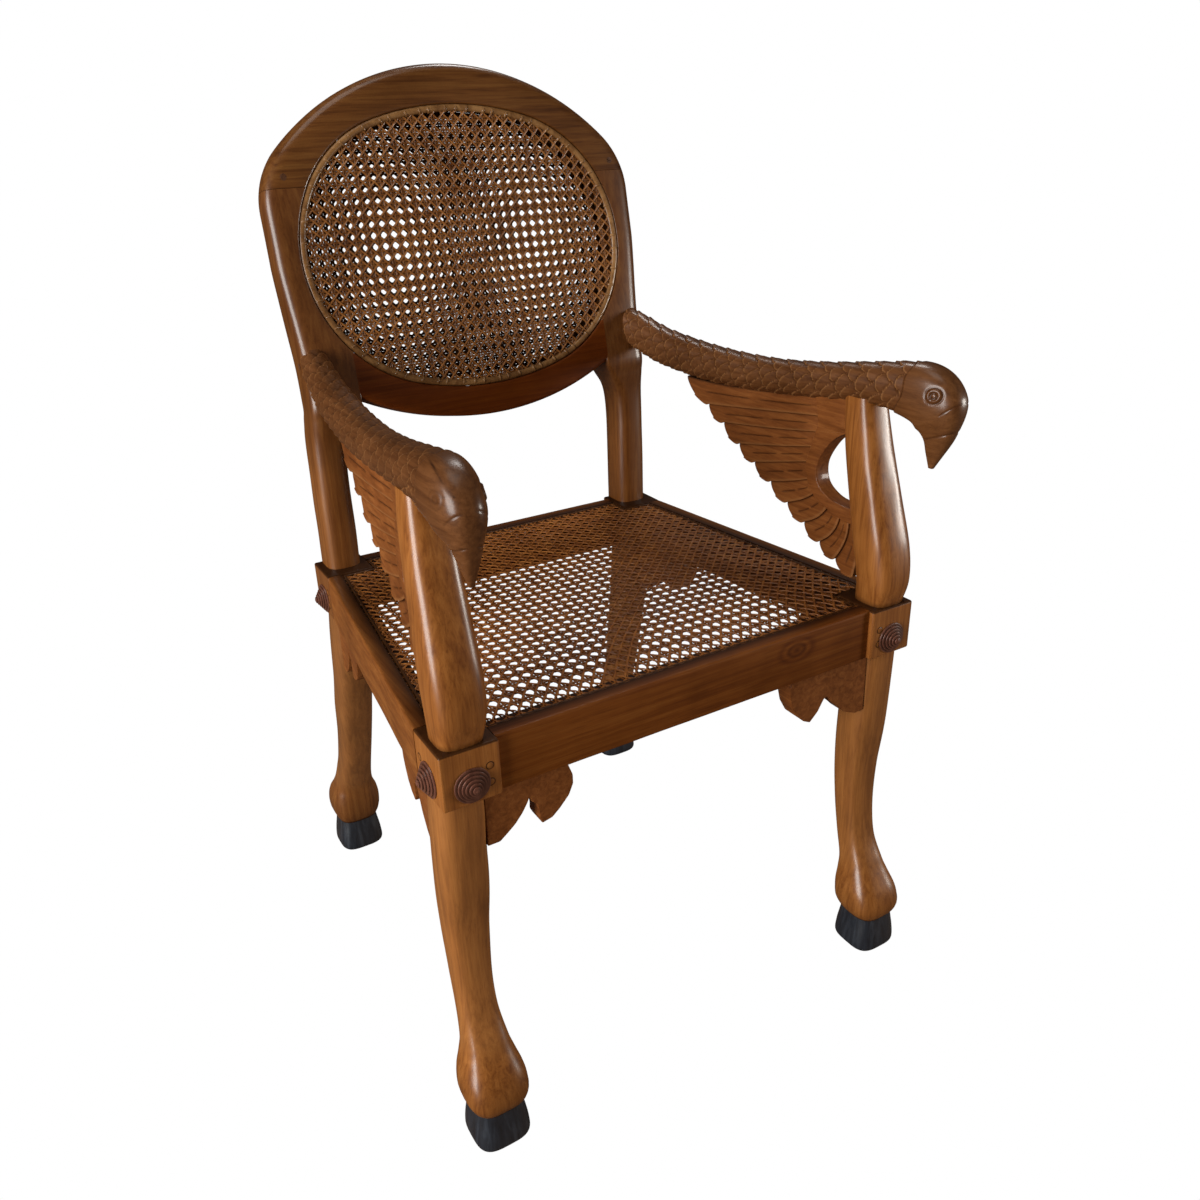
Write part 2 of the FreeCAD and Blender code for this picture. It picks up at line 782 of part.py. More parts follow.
def back_binder(depth):
    strip = oval_prism(0, depth, depth + cane_sink - cane_thickness)
    return strip.cut(oval_prism(back_binder_width, -overrun, back_thickness + overrun))


# Pieces before they are fitted to each other
front_timber = front_leg()
lower_back_rail = lower_rail()
back_timber = cut_all(back_leg(), [lower_back_rail])
arm_blank = arm_body()
wing_rods = wing_dowels()
pegs = rail_pegs()
front_cross_tenon = cross_tenon(front_rail_y, front_half_width - block_size)
back_cross_tenon = cross_tenon(back_rail_y, back_half_width - block_size)
front_place = foot_place(front_leg_shares, front_block_x, -block_y,
                         front_leg_offset, front_leg_spread, front_leg_sweep)
back_place = foot_place(back_leg_shares, back_block_x, block_y,
                        back_leg_offset, back_leg_spread, back_leg_sweep)
hoof_dowels = []
for place in (front_place, back_place):
    start = Vector(place.x, place.y, hoof_height - dowel_length / 2)
    hoof_dowels.append(eight_sided(start, Vector(0, 0, 1), dowel_radius, dowel_length))
stud_z = (seat_height + block_bottom) / 2 - stud_drop
front_stud = stud(Vector(front_block_x, -seat_half_depth, stud_z), Vector(0, -1, 0))
side_stud = stud(Vector(front_half_width, -block_y, stud_z), Vector(1, 0, 0))
back_stud = stud(Vector(back_half_width, block_y, stud_z), Vector(1, 0, 0))

# The arm ends flat on the stile and is held there by a round tenon with a peg through it
arm_root = arm_tenon()
behind_ring = in_back_plane(box_between(-overrun, ring_half_width + overrun, 0, back_thickness + overrun,
                                        -ring_half_height, ring_half_height))
arm_peg_z = arm_root.BoundBox.Center.z
arm_peg_y = ring_front(arm_peg_z) + back_thickness / 2
arm_peg_x = ring_half_width * stile_ring_shares[0][1] + peg_proud
arm_peg_length = arm_peg_x - arm_back_x + arm_tenon_radius + arm_peg_past
arm_peg = eight_sided(Vector(arm_peg_x, arm_peg_y, arm_peg_z), Vector(-1, 0, 0),
                      peg_radius, arm_peg_length)
arm_root = cut_all(arm_root, [arm_peg])
arm = cut_all(arm_blank, [behind_ring, back_timber, front_timber] + wing_rods)
arm = arm.fuse(arm_root).removeSplitter()
wing = cut_all(wing_board(), [arm_blank, front_timber, wing_eye()] + wing_rods)

# Brackets: one under the front rail and two under each side rail, scribed to the leg beside them
bracket_rods = []
bracket_middle = bracket_length * bracket_crown_shares[1][0] / 2
front_face = -seat_half_depth + front_rail_inset + bracket_inset
front_bracket = bracket()
front_bracket.translate(Vector(front_half_width - block_size, front_face, block_bottom))
rod = bracket_dowel(front_half_width - block_size - bracket_middle, front_face + bracket_thickness / 2)
bracket_rods.append(rod)
front_bracket = cut_all(front_bracket, [front_timber, rod])
side_turn = math.degrees(math.atan(side_rail_slope))
side_brackets = []
for end, timber in ((-1, front_timber), (1, back_timber)):
    board = bracket()
    board.translate(Vector(0, -bracket_thickness / 2, 0))
    board.rotate(Vector(0, 0, 0), Vector(0, 0, 1), end * quarter_turn + side_turn)
    y = end * inner_block_y
    middle_x = seat_rail_x(y) - bracket_inset - bracket_thickness / 2
    board.translate(Vector(middle_x, y, block_bottom))
    rod = bracket_dowel(middle_x + end * bracket_middle * side_rail_slope, y - end * bracket_middle)
    bracket_rods.append(rod)
    side_brackets.append(cut_all(board, [timber, rod]))

# Fitted pieces: one of each for the middle, and right hand ones to mirror
middle_parts = {
    "front_rail": cut_all(cross_rail(front_rail_y, front_half_width - block_size),
                          both(pegs + bracket_rods)),
    "back_rail": cut_all(cross_rail(back_rail_y, back_half_width - block_size), both(pegs)),
    "crest_rail": cut_all(crest_rail(), both([crest_tenon(), crest_peg()])),
    "lower_back_rail": lower_back_rail,
    "seat_cane": seat_cane(),
    "seat_binder": seat_binder(),
    "back_cane_front": back_cane(cane_sink - cane_thickness),
    "back_cane_rear": back_cane(back_thickness - cane_sink),
    "back_binder_front": back_binder(0),
    "back_binder_rear": back_binder(back_thickness - cane_sink + cane_thickness),
    "rail_pegs": Part.makeCompound(both(pegs)),
    "crest_pegs": Part.makeCompound(both([crest_peg()])),
    "arm_pegs": Part.makeCompound(both([arm_peg])),
    "turned_studs": Part.makeCompound(both([front_stud, side_stud, back_stud])),
    "wing_dowels": Part.makeCompound(both(wing_rods)),
    "bracket_dowels": Part.makeCompound(both(bracket_rods)),
    "hoof_dowels": Part.makeCompound(both(hoof_dowels)),
}
right_parts = {
    "front_{}_leg": cut_all(front_timber, [front_cross_tenon, side_tenon(-1), front_stud, side_stud]
                            + pegs + hoof_dowels),
    "back_{}_leg": cut_all(back_timber, [back_cross_tenon, side_tenon(1), back_stud,
                                         arm_tenon(), arm_peg, crest_peg()] + pegs + hoof_dowels),
    "front_{}_hoof": cut_all(hoof(front_place.x, front_place.y), hoof_dowels),
    "back_{}_hoof": cut_all(hoof(back_place.x, back_place.y), hoof_dowels),
    "{}_side_rail": cut_all(side_rail(), pegs + bracket_rods),
    "{}_arm": arm,
    "{}_wing": wing,
    "front_{}_bracket": front_bracket,
    "{}_side_front_bracket": side_brackets[0],
    "{}_side_back_bracket": side_brackets[1],
}

parts = dict(middle_parts)
for pattern, shape in right_parts.items():
    parts[pattern.format("right")] = shape
    parts[pattern.format("left")] = mirrored(shape)

# The origin moves to the middle of the chair's depth, on the floor
reach = Part.makeCompound([parts["right_arm"], parts["back_right_hoof"], parts["crest_rail"],
                           parts["back_right_leg"]]).optimalBoundingBox()
depth_shift = Vector(0, -(reach.YMin + reach.YMax) / 2, 0)

os.makedirs("parts", exist_ok=True)
for name, shape in parts.items():
    shape.translate(depth_shift)
    shape.exportStep("parts/" + name + ".step")
    print(name, shape.isValid(), len(shape.Solids), round(shape.Volume))
print("depth shift", round(depth_shift.y, 3))
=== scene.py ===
from math import atan2, ceil, copysign, cos, dist, exp, hypot, pi, radians, sin, sqrt

import bmesh
import bpy
from mathutils import Matrix, Vector
from mathutils.noise import noise


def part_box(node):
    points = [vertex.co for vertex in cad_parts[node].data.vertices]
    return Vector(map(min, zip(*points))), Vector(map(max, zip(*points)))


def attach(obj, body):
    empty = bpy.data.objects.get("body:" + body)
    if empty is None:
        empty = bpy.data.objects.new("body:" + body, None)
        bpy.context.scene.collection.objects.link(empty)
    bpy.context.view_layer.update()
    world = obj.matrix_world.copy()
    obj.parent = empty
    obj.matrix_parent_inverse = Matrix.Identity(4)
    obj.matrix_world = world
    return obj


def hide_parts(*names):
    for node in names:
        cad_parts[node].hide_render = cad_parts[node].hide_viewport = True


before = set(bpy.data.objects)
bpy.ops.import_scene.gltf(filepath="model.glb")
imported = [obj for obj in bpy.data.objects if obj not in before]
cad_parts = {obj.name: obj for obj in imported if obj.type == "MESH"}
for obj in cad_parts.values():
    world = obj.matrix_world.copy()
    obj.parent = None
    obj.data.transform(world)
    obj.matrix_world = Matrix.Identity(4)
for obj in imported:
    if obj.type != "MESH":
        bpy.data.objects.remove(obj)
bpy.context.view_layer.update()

scene = bpy.context.scene
mm = 0.001

# Pieces are in millimetres, in the seat's own frame, whose middle is a little in front of the CAD frame's
seat = dict(height=433, halfFront=262.5, halfBack=224, halfDepth=230, block=54, railFace=224)
hoofTop = 42
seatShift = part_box("front_rail")[0].y / mm + seat["railFace"]
blockY = seat["halfDepth"] - seat["block"] / 2
blockBottom = seat["height"] - seat["block"]
frontBlockX = seat["halfFront"] - seat["block"] / 2
backBlockX = seat["halfBack"] - seat["block"] / 2
frontInnerX = seat["halfFront"] - seat["block"]
backInnerX = seat["halfBack"] - seat["block"]
sides = {"right": 1, "left": -1}
flatFace = 8e-4  # square metres, above which a face is shaded flat


def atSeat(x, y, z):
    return Vector((x, y + seatShift, z)) * mm


def clamp(value):
    return min(max(value, 0), 1)


def bump(distance, width):
    return exp(-(distance / width) ** 2)


def rowAt(rows, share):
    # Smooth curve through evenly spaced rows of values
    last = len(rows) - 1
    place = clamp(share) * last
    first = min(int(place), last - 1)
    t = place - first
    four = [rows[min(max(first + k, 0), last)] for k in (-1, 0, 1, 2)]
    return [b + t * (c - a + t * (2 * a - 5 * b + 4 * c - d + t * (3 * (b - c) + d - a))) / 2
            for a, b, c, d in zip(*four)]


def roundRing(halfX, halfY, squareness, count):
    ring = []
    for k in range(count):
        c, s = cos(2 * pi * k / count), sin(2 * pi * k / count)
        ring.append((halfX * copysign(abs(c) ** (2 / squareness), c),
                     halfY * copysign(abs(s) ** (2 / squareness), s)))
    return ring


def softCorners(points, radii, steps=3):
    # The outline with each corner rounded by a short curve
    ring = []
    for k, point in enumerate(points):
        here = Vector(point)
        before = Vector(points[k - 1]) - here
        after = Vector(points[(k + 1) % len(points)]) - here
        radius = radii[k] if isinstance(radii, (list, tuple)) else radii
        start = here + before.normalized() * radius
        end = here + after.normalized() * radius
        for step in range(steps + 1):
            t = step / steps
            ring.append(tuple(start * (1 - t) ** 2 + here * 2 * t * (1 - t) + end * t ** 2))
    return ring


def boardSection(low, high, thick, lowSoft, highSoft, steps=3):
    corners = [(low, 0), (high, 0), (high, thick), (low, thick)]
    return softCorners(corners, [lowSoft, highSoft, highSoft, lowSoft], steps)


def skin(bm, rings, loop=False, marks=None):
    # Surface through rings of points, given in metres
    rows, columns = len(rings), len(rings[0])
    spans = rows - 1 + loop
    layer = bm.verts.layers.float.get("shadeDirtAndLight") or bm.verts.layers.float.new("shadeDirtAndLight")
    made = bmesh.ops.create_grid(bm, x_segments=columns, y_segments=spans, size=0.5)["verts"]
    for vert in made:
        column = round((vert.co.x + 0.5) * columns) % columns
        row = round((vert.co.y + 0.5) * spans) % rows
        vert.co = rings[row][column]
        if marks:
            vert[layer] = marks[row][column]


def close(bm):
    bmesh.ops.remove_doubles(bm, verts=bm.verts, dist=1e-6)
    bmesh.ops.holes_fill(bm, edges=[edge for edge in bm.edges if edge.is_boundary], sides=0)
    bmesh.ops.recalc_face_normals(bm, faces=bm.faces)


def piece(bm, name, nodes, wood, sharp=35):
    close(bm)
    mesh = bpy.data.meshes.new(name)
    bm.to_mesh(mesh)
    bm.free()
    mesh.shade_smooth()
    mesh.set_sharp_from_angle(angle=radians(sharp))
    mesh.polygons.foreach_set("use_smooth", [polygon.area < flatFace for polygon in mesh.polygons])
    mesh.materials.append(finishes[wood])
    made = bpy.data.objects.new(name, mesh)
    scene.collection.objects.link(made)
    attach(made, "root")
    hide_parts(*nodes)


# Materials
grainNoise = dict(Grain=dict(Scale=1, Detail=3, Roughness=0.6, Distortion=0.6),
                  Fibre=dict(Scale=5, Detail=2, Roughness=0.7),
                  Patch=dict(Scale=9, Detail=4, Roughness=0.6))
# The dark colour is painted shade in creases and also dirt, the light colour painted highlights and also wear
finish = dict(cut=(0.02, 0.007, 0.003, 1), wornAndLit=(0.44, 0.21, 0.075, 1), fibreMix=0.45, fibreDepth=0.0006,
              glossier=0.06, duller=0.08, specular=0.12, coatIor=1.9, coatGone=0.8,
              patches=[(0.32, (0.78, 0.75, 0.72)), (0.5, (1, 1, 1)), (0.68, (1.14, 1.15, 1.17))],
              fibres=[(0.36, (0.6, 0.55, 0.5)), (0.47, (1, 1, 1))])


def addNode(tree, kind, settings=None, inputs=None):
    made = tree.nodes.new(kind)
    for key, value in (settings or {}).items():
        setattr(made, key, value)
    for key, value in (inputs or {}).items():
        made.inputs[key].default_value = value
    return made


def makeGrainGroup():
    # Growth lines and short fibres along a board, and broad patches over it
    tree = bpy.data.node_groups.new("woodGrain", "ShaderNodeTree")
    tree.interface.new_socket("Stretch", in_out="INPUT", socket_type="NodeSocketVector")
    for name in grainNoise:
        tree.interface.new_socket(name, in_out="OUTPUT", socket_type="NodeSocketFloat")
    start = addNode(tree, "NodeGroupInput")
    end = addNode(tree, "NodeGroupOutput")
    coords = addNode(tree, "ShaderNodeTexCoord")
    stretched = addNode(tree, "ShaderNodeVectorMath", {"operation": "MULTIPLY"})
    tree.links.new(coords.outputs["Object"], stretched.inputs[0])
    tree.links.new(start.outputs["Stretch"], stretched.inputs[1])
    for name, inputs in grainNoise.items():
        source = addNode(tree, "ShaderNodeTexNoise", inputs=inputs)
        place = coords.outputs["Object"] if name == "Patch" else stretched.outputs[0]
        tree.links.new(place, source.inputs["Vector"])
        tree.links.new(source.outputs["Fac"], end.inputs[name])
    return tree


grainGroup = makeGrainGroup()


def colourRamp(tree, value, stops):
    ramp = addNode(tree, "ShaderNodeValToRGB")
    elements = ramp.color_ramp.elements
    while len(elements) < len(stops):
        elements.new(0.5)
    for element, (place, colour) in zip(elements, stops):
        element.position = place
        element.color = (*colour, 1)
    tree.links.new(value, ramp.inputs["Fac"])
    return ramp.outputs["Color"]


def multiplied(tree, colour, value, stops, factor=1.0):
    # The colour times a ramp that follows the value
    mix = addNode(tree, "ShaderNodeMix", {"data_type": "RGBA", "blend_type": "MULTIPLY"})
    mix.inputs["Factor"].default_value = factor
    tree.links.new(colour, mix.inputs["A"])
    tree.links.new(colourRamp(tree, value, stops), mix.inputs["B"])
    return mix.outputs["Result"]


def turnedTo(tree, colour, factor, other):
    # The colour, giving way to the other one as the factor rises
    mix = addNode(tree, "ShaderNodeMix", {"data_type": "RGBA", "blend_type": "MIX"})
    tree.links.new(factor, mix.inputs["Factor"])
    tree.links.new(colour, mix.inputs["A"])
    mix.inputs["B"].default_value = other
    return mix.outputs["Result"]


def mapped(tree, value, before, after):
    made = addNode(tree, "ShaderNodeMapRange", inputs={"From Min": before[0], "From Max": before[1],
                                                       "To Min": after[0], "To Max": after[1]})
    tree.links.new(value, made.inputs["Value"])
    return made.outputs["Result"]


def woodMaterial(name, dark, middle, light, stretch, roughness, coat, haze=0.14, relief=0.12):
    material = bpy.data.materials.new(name)
    material.use_nodes = True
    tree = material.node_tree
    shader = tree.nodes["Principled BSDF"]
    grain = addNode(tree, "ShaderNodeGroup", {"node_tree": grainGroup}, {"Stretch": stretch})
    shadeDirtAndLight = addNode(tree, "ShaderNodeAttribute", {"attribute_name": "shadeDirtAndLight"})
    wornAndLit = addNode(tree, "ShaderNodeMath", {"operation": "MULTIPLY"}, {1: -1})
    tree.links.new(shadeDirtAndLight.outputs["Fac"], wornAndLit.inputs[0])
    colour = colourRamp(tree, grain.outputs["Grain"], [(0.3, dark), (0.5, middle), (0.7, light)])
    colour = multiplied(tree, colour, grain.outputs["Patch"], finish["patches"])
    colour = multiplied(tree, colour, grain.outputs["Fibre"], finish["fibres"], finish["fibreMix"])
    # Above zero the mark turns the colour dark, as painted shade in cuts, creases and under strands and as
    # dirt and dark joints; below zero it turns it light, as painted highlights and wear
    colour = turnedTo(tree, colour, shadeDirtAndLight.outputs["Fac"], finish["cut"])
    colour = turnedTo(tree, colour, wornAndLit.outputs[0], finish["wornAndLit"])
    gloss = mapped(tree, grain.outputs["Patch"], (0.3, 0.7),
                   (roughness - finish["glossier"], roughness + finish["duller"]))
    shine = mapped(tree, shadeDirtAndLight.outputs["Fac"], (0, finish["coatGone"]), (coat, 0))
    ridges = addNode(tree, "ShaderNodeBump", inputs={"Strength": relief, "Distance": finish["fibreDepth"]})
    tree.links.new(grain.outputs["Fibre"], ridges.inputs["Height"])
    tree.links.new(colour, shader.inputs["Base Color"])
    tree.links.new(gloss, shader.inputs["Roughness"])
    tree.links.new(shine, shader.inputs["Coat Weight"])
    tree.links.new(ridges.outputs["Normal"], shader.inputs["Normal"])
    shader.inputs["Specular IOR Level"].default_value = finish["specular"]
    shader.inputs["Coat Roughness"].default_value = haze
    shader.inputs["Coat IOR"].default_value = finish["coatIor"]
    return material


knot = dict(place=(114, -seat["railFace"], 416.5), reach=16, across=0.6, deep=0.2, rings=[
    (0, (0.45, 0.36, 0.3)), (0.22, (0.9, 0.88, 0.85)), (0.38, (0.55, 0.48, 0.4)),
    (0.55, (1.1, 1.1, 1.1)), (0.75, (0.7, 0.62, 0.55)), (1, (1, 1, 1))])


def addKnot(material):
    # Dark rings round the knot's place, wider than high
    tree = material.node_tree
    colour = tree.nodes["Principled BSDF"].inputs["Base Color"]
    squeeze = Vector((knot["across"], knot["deep"], 1)) / (knot["reach"] * mm)
    coords = addNode(tree, "ShaderNodeTexCoord")
    offset = addNode(tree, "ShaderNodeVectorMath", {"operation": "SUBTRACT"}, {1: atSeat(*knot["place"])})
    squeezed = addNode(tree, "ShaderNodeVectorMath", {"operation": "MULTIPLY"}, {1: squeeze})
    away = addNode(tree, "ShaderNodeVectorMath", {"operation": "LENGTH"})
    tree.links.new(coords.outputs["Object"], offset.inputs[0])
    tree.links.new(offset.outputs[0], squeezed.inputs[0])
    tree.links.new(squeezed.outputs[0], away.inputs[0])
    knotted = multiplied(tree, colour.links[0].from_socket, away.outputs["Value"], knot["rings"])
    tree.links.new(knotted, colour)


# How fast the grain changes along x, y and z
upright = (190, 190, 7)
endToEnd = (7, 190, 190)
frontToBack = (190, 7, 190)
tight = (60, 60, 60)
tighter = (80, 80, 80)
# Dark, middle and light grain, its run, roughness, coat, haze of the coat and relief
woods = dict(
    legWood=((0.19, 0.058, 0.01), (0.285, 0.098, 0.019), (0.36, 0.134, 0.029), upright, 0.45, 0.42, 0.27),
    railWood=((0.12, 0.03, 0.003), (0.165, 0.045, 0.005), (0.2, 0.062, 0.009), endToEnd, 0.55, 0.02),
    sideWood=((0.15, 0.045, 0.009), (0.21, 0.069, 0.014), (0.27, 0.098, 0.022), frontToBack, 0.5, 0.12),
    ringWood=((0.07, 0.021, 0.003), (0.125, 0.043, 0.008), (0.16, 0.062, 0.013), endToEnd, 0.48, 0.4, 0.2),
    # The lower back rail's wood is darker than the crest's, as painted shade
    shadedLowWood=((0.095, 0.019, 0.001), (0.125, 0.026, 0.002), (0.15, 0.036, 0.003), endToEnd, 0.55, 0.02),
    stileWood=((0.13, 0.04, 0.007), (0.19, 0.064, 0.013), (0.24, 0.09, 0.02), upright, 0.45, 0.6, 0.25),
    armWood=((0.09, 0.03, 0.008), (0.128, 0.046, 0.013), (0.165, 0.063, 0.02), frontToBack, 0.45, 0.28, 0.26),
    wingWood=((0.14, 0.042, 0.009), (0.2, 0.062, 0.014), (0.26, 0.09, 0.022), frontToBack, 0.5, 0.12),
    studWood=((0.1, 0.036, 0.022), (0.15, 0.056, 0.035), (0.2, 0.08, 0.05), upright, 0.42, 0.6, 0.24),
    hoofBlack=((0.005, 0.008, 0.013), (0.012, 0.017, 0.025), (0.03, 0.038, 0.05), upright, 0.4, 0.8, 0.3),
    caneGold=((0.16, 0.05, 0.009), (0.245, 0.088, 0.018), (0.33, 0.13, 0.03), tight, 0.42, 0.25, 0.24, 0.05),
    # The seat's cane is a lighter copy of the back's cane, as painted light
    seatGoldLit=((0.2, 0.057, 0.009), (0.31, 0.1, 0.018), (0.42, 0.15, 0.03), tight, 0.42, 0.25, 0.24, 0.05),
    binderTan=((0.16, 0.07, 0.022), (0.25, 0.12, 0.04), (0.34, 0.175, 0.064), tighter, 0.42, 0.25, 0.2, 0.05))
finishes = {name: woodMaterial(name, *values) for name, values in woods.items()}
addKnot(finishes["railWood"])
print("materials made")

# Front timbers: fetlock, leg, seat block and arm post in one piece
# Rows hold the share of the height, the bend as a share of the sweep and the width as a share of half
# Legs darken in a line at the hoof and, as painted shade, over their lowest fifth, and lighten evenly as
# painted light and wear
leg = dict(half=31, squareness=3.1, sections=88, round=40, letIn=6, wander=0.7, ripple=0.05, rippleUp=7,
           wornAndLit=0.14, shades=[(0.75, 0.012), (0.5, 0.2)])
frontLeg = dict(leg, offset=4.5, spread=1.5, sweep=24, seed=(9, -blockY), rows=[
    (0, -1, .80), (.018, -1, .92), (.039, -.96, 1), (.065, -.90, 1), (.098, -.78, .945), (.142, -.58, .80),
    (.187, -.36, .68), (.27, .10, .59), (.389, .38, .60), (.537, .46, .66), (.715, .32, .73), (1, .12, .70)])
backLeg = dict(leg, offset=0, spread=9.5, sweep=81, seed=(9, blockY), rows=[
    (0, .98, .80), (.021, .99, .91), (.047, 1, .98), (.083, 1, .99), (.119, .98, .92), (.151, .93, .79),
    (.187, .86, .71), (.246, .75, .66), (.332, .61, .63), (.537, .39, .68), (.772, .17, .72), (1, .05, .70)])
post = dict(offset=-3, spread=4.5, sweep=38, rise=207, half=22.3, squareness=3.3, sections=44, round=40,
            wander=0.5, ripple=0.06, rippleUp=6, seed=(4, 0), wornAndLit=0, shades=[(0.6, 0.03)], rows=[
    (0, -.10, .91), (.12, -.20, 1.02), (.29, -.06, 1.08), (.53, .28, 1), (.78, .62, .90), (1, .82, .77)])
block = dict(soft=2.2, segments=3, topBand=0.6, topDark=0.85)


def timberRings(form, side, x, y, low, high):
    # Rounded square sections that wander a little, dark at the foot
    rings, marks = [], []
    for step in range(form["sections"] + 1):
        height, bend, width = rowAt(form["rows"], step / form["sections"])
        half = form["half"] * width
        middleX = x + form["offset"] + form["spread"] * (1 - height)
        middleY = y + form["sweep"] * bend
        ring = []
        for across, deep in roundRing(half, half, form["squareness"], form["round"]):
            ripple = Vector((across * form["ripple"] + side * form["seed"][0],
                             deep * form["ripple"] + form["seed"][1], height * form["rippleUp"]))
            wander = form["wander"] * noise(ripple)
            ring.append(atSeat(side * (middleX + across + wander), middleY + deep + wander,
                               low + (high - low) * height))
        rings.append(ring)
        shade = sum(dark * max(0, 1 - height / reach) for dark, reach in form["shades"]) - form["wornAndLit"]
        marks.append([shade] * len(ring))
    return rings, marks


def legRings(form, side, x, y):
    return timberRings(form, side, x, y, hoofTop, blockBottom + form["letIn"])


def addBlock(bm, side, x, y):
    # A cube with softened edges, dark along the top
    made = bmesh.ops.create_cube(bm, size=seat["block"] * mm)["verts"]
    bmesh.ops.translate(bm, verts=made, vec=atSeat(side * x, y, seat["height"] - seat["block"] / 2))
    edges = dict.fromkeys(edge for vert in made for edge in vert.link_edges)
    softened = bmesh.ops.bevel(bm, geom=list(edges), offset=block["soft"] * mm, offset_type="OFFSET",
                               segments=block["segments"], profile=0.5, affect="EDGES", material=-1)
    layer = bm.verts.layers.float.get("shadeDirtAndLight")
    topLine = (seat["height"] - block["topBand"] * block["soft"]) * mm
    for vert in softened["verts"]:
        vert[layer] = block["topDark"] * (vert.co.z > topLine)


for name, side in sides.items():
    bm = bmesh.new()
    postTop = seat["height"] + post["rise"]
    for rings, marks in (legRings(frontLeg, side, frontBlockX, -blockY),
                         timberRings(post, side, frontBlockX, -blockY, seat["height"], postTop)):
        skin(bm, rings, marks=marks)
    addBlock(bm, side, frontBlockX, -blockY)
    piece(bm, "front" + name.title() + "Timber", ["front_" + name + "_leg"], "legWood", sharp=25)
print("front timbers made")

# Back ring: stiles, crest rail and lower rail lean back together
back = dict(rake=12.1, height=673, depth=196.5, thick=38, rise=95, ovalWide=191.5, ovalHigh=150, ovalEnd=143,
            ringWide=218, ringHigh=193, shoulder=86.85, shoulderRise=52.1, crestJoint=168, jointHalf=155,
            jointDrop=50, lowerDrop=89)
rake = radians(back["rake"])
rakeSin = sin(rake)
rakeCos = cos(rake)


def topRadius(endX, drop, endRadius):
    # Radius of the top arc that meets the side arcs smoothly
    return (endX ** 2 + drop ** 2 - endRadius ** 2) / (2 * (drop - endRadius))


ovalEndX = back["ovalWide"] - back["ovalEnd"]
ovalTop = topRadius(ovalEndX, back["ovalHigh"], back["ovalEnd"])
ovalDown = ovalTop - back["ovalHigh"]
ovalCorner = Vector((ovalEndX, ovalDown)).normalized() * ovalTop - Vector((0, ovalDown))
shoulderX = back["ringWide"] - back["shoulder"]
ringTop = topRadius(shoulderX, back["ringHigh"] - back["shoulderRise"], back["shoulder"])


def atBack(x, depth, up):
    y = back["depth"] + depth * rakeCos + up * rakeSin
    z = back["height"] - depth * rakeSin + up * rakeCos
    return atSeat(x, y, z)


def arcReach(angle, end, endRadius, top, topArc):
    # From the ring centre out to a side arc or, higher up, a top arc
    across, up = abs(cos(angle)), abs(sin(angle))
    lean = Vector((end[0] - top[0], end[1] - top[1])).normalized()
    corner = Vector(top) + lean * topArc
    middle, radius = (top, topArc) if up * corner.x > across * corner.y else (end, endRadius)
    along = middle[0] * across + middle[1] * up
    return along + sqrt(radius ** 2 - middle[0] ** 2 - middle[1] ** 2 + along ** 2)


def ovalReach(angle, inset=0):
    return arcReach(angle, (ovalEndX, 0), back["ovalEnd"] - inset, (0, -ovalDown), ovalTop - inset)


def ringReach(angle):
    shoulder = (shoulderX, back["shoulderRise"])
    return arcReach(angle, shoulder, back["shoulder"], (0, back["ringHigh"] - ringTop), ringTop)


def ovalHalfAt(up):
    rise = abs(up - back["rise"])
    if rise < ovalCorner.y:
        return ovalEndX + sqrt(back["ovalEnd"] ** 2 - rise ** 2)
    return sqrt(max(ovalTop ** 2 - (rise + ovalDown) ** 2, 0))


def ovalDropAt(x):
    if abs(x) < ovalCorner.x:
        return back["rise"] + ovalDown - sqrt(ovalTop ** 2 - x ** 2)
    return back["rise"] - sqrt(back["ovalEnd"] ** 2 - (abs(x) - ovalEndX) ** 2)


def stileEdgeAt(up):
    rise = up - back["rise"] - back["shoulderRise"]
    return shoulderX + sqrt(back["shoulder"] ** 2 - max(rise, 0) ** 2)


# Neck rows hold height, inner flare, outer edge, blend to the ring plane and depth
# Ring rows hold height on the ring, outer edge and depth
# The stile turns darker towards the top, from a given height over a given rise
stile = dict(front=192.5, inner=177, corner=15, cornerLoss=12, edge=2, letIn=8, sections=150, wander=0.5,
             ripple=0.02, seed=(5, 2), shadeAndTone=0.35, toneFrom=540, toneOver=90,
             neck=[(0, 0, .986, 0, 1.18), (.32, 0, .986, 0, 1.18), (.60, 0, .982, 0, 1.20),
                   (.78, .15, .977, .05, 1.24), (.90, .62, .973, .40, 1.28), (1, 1, .970, 1, 1.30)],
             ring=[(-9.5, .968, 1.30), (28.5, .978, 1.26), (60.8, .990, 1.14), (95, 1, 1.04), (131, 1, 1),
                   (168, 1, 1)])


def stileRows():
    # Height, inner and outer edge, front face, inner corner, depth and blend to the ring plane
    rows = []
    low = seat["height"] - stile["letIn"]
    neckTop = back["height"] - back["jointDrop"] * rakeCos
    for height, flare, edge, blend, deep in stile["neck"]:
        z = low + (neckTop - low) * height
        planeY = back["depth"] + (z - back["height"]) * rakeSin / rakeCos
        inner = stile["inner"] + (back["jointHalf"] - stile["inner"]) * flare
        front = stile["front"] + (planeY - stile["front"]) * blend
        corner = stile["corner"] - stile["cornerLoss"] * flare
        rows.append((z, inner, back["ringWide"] * edge, front, corner, deep, blend))
    for up, edge, deep in stile["ring"]:
        z = back["height"] + up * rakeCos
        front = back["depth"] + up * rakeSin
        rows.append((z, back["jointHalf"], back["ringWide"] * edge, front, stile["edge"], deep, 1))
    return rows


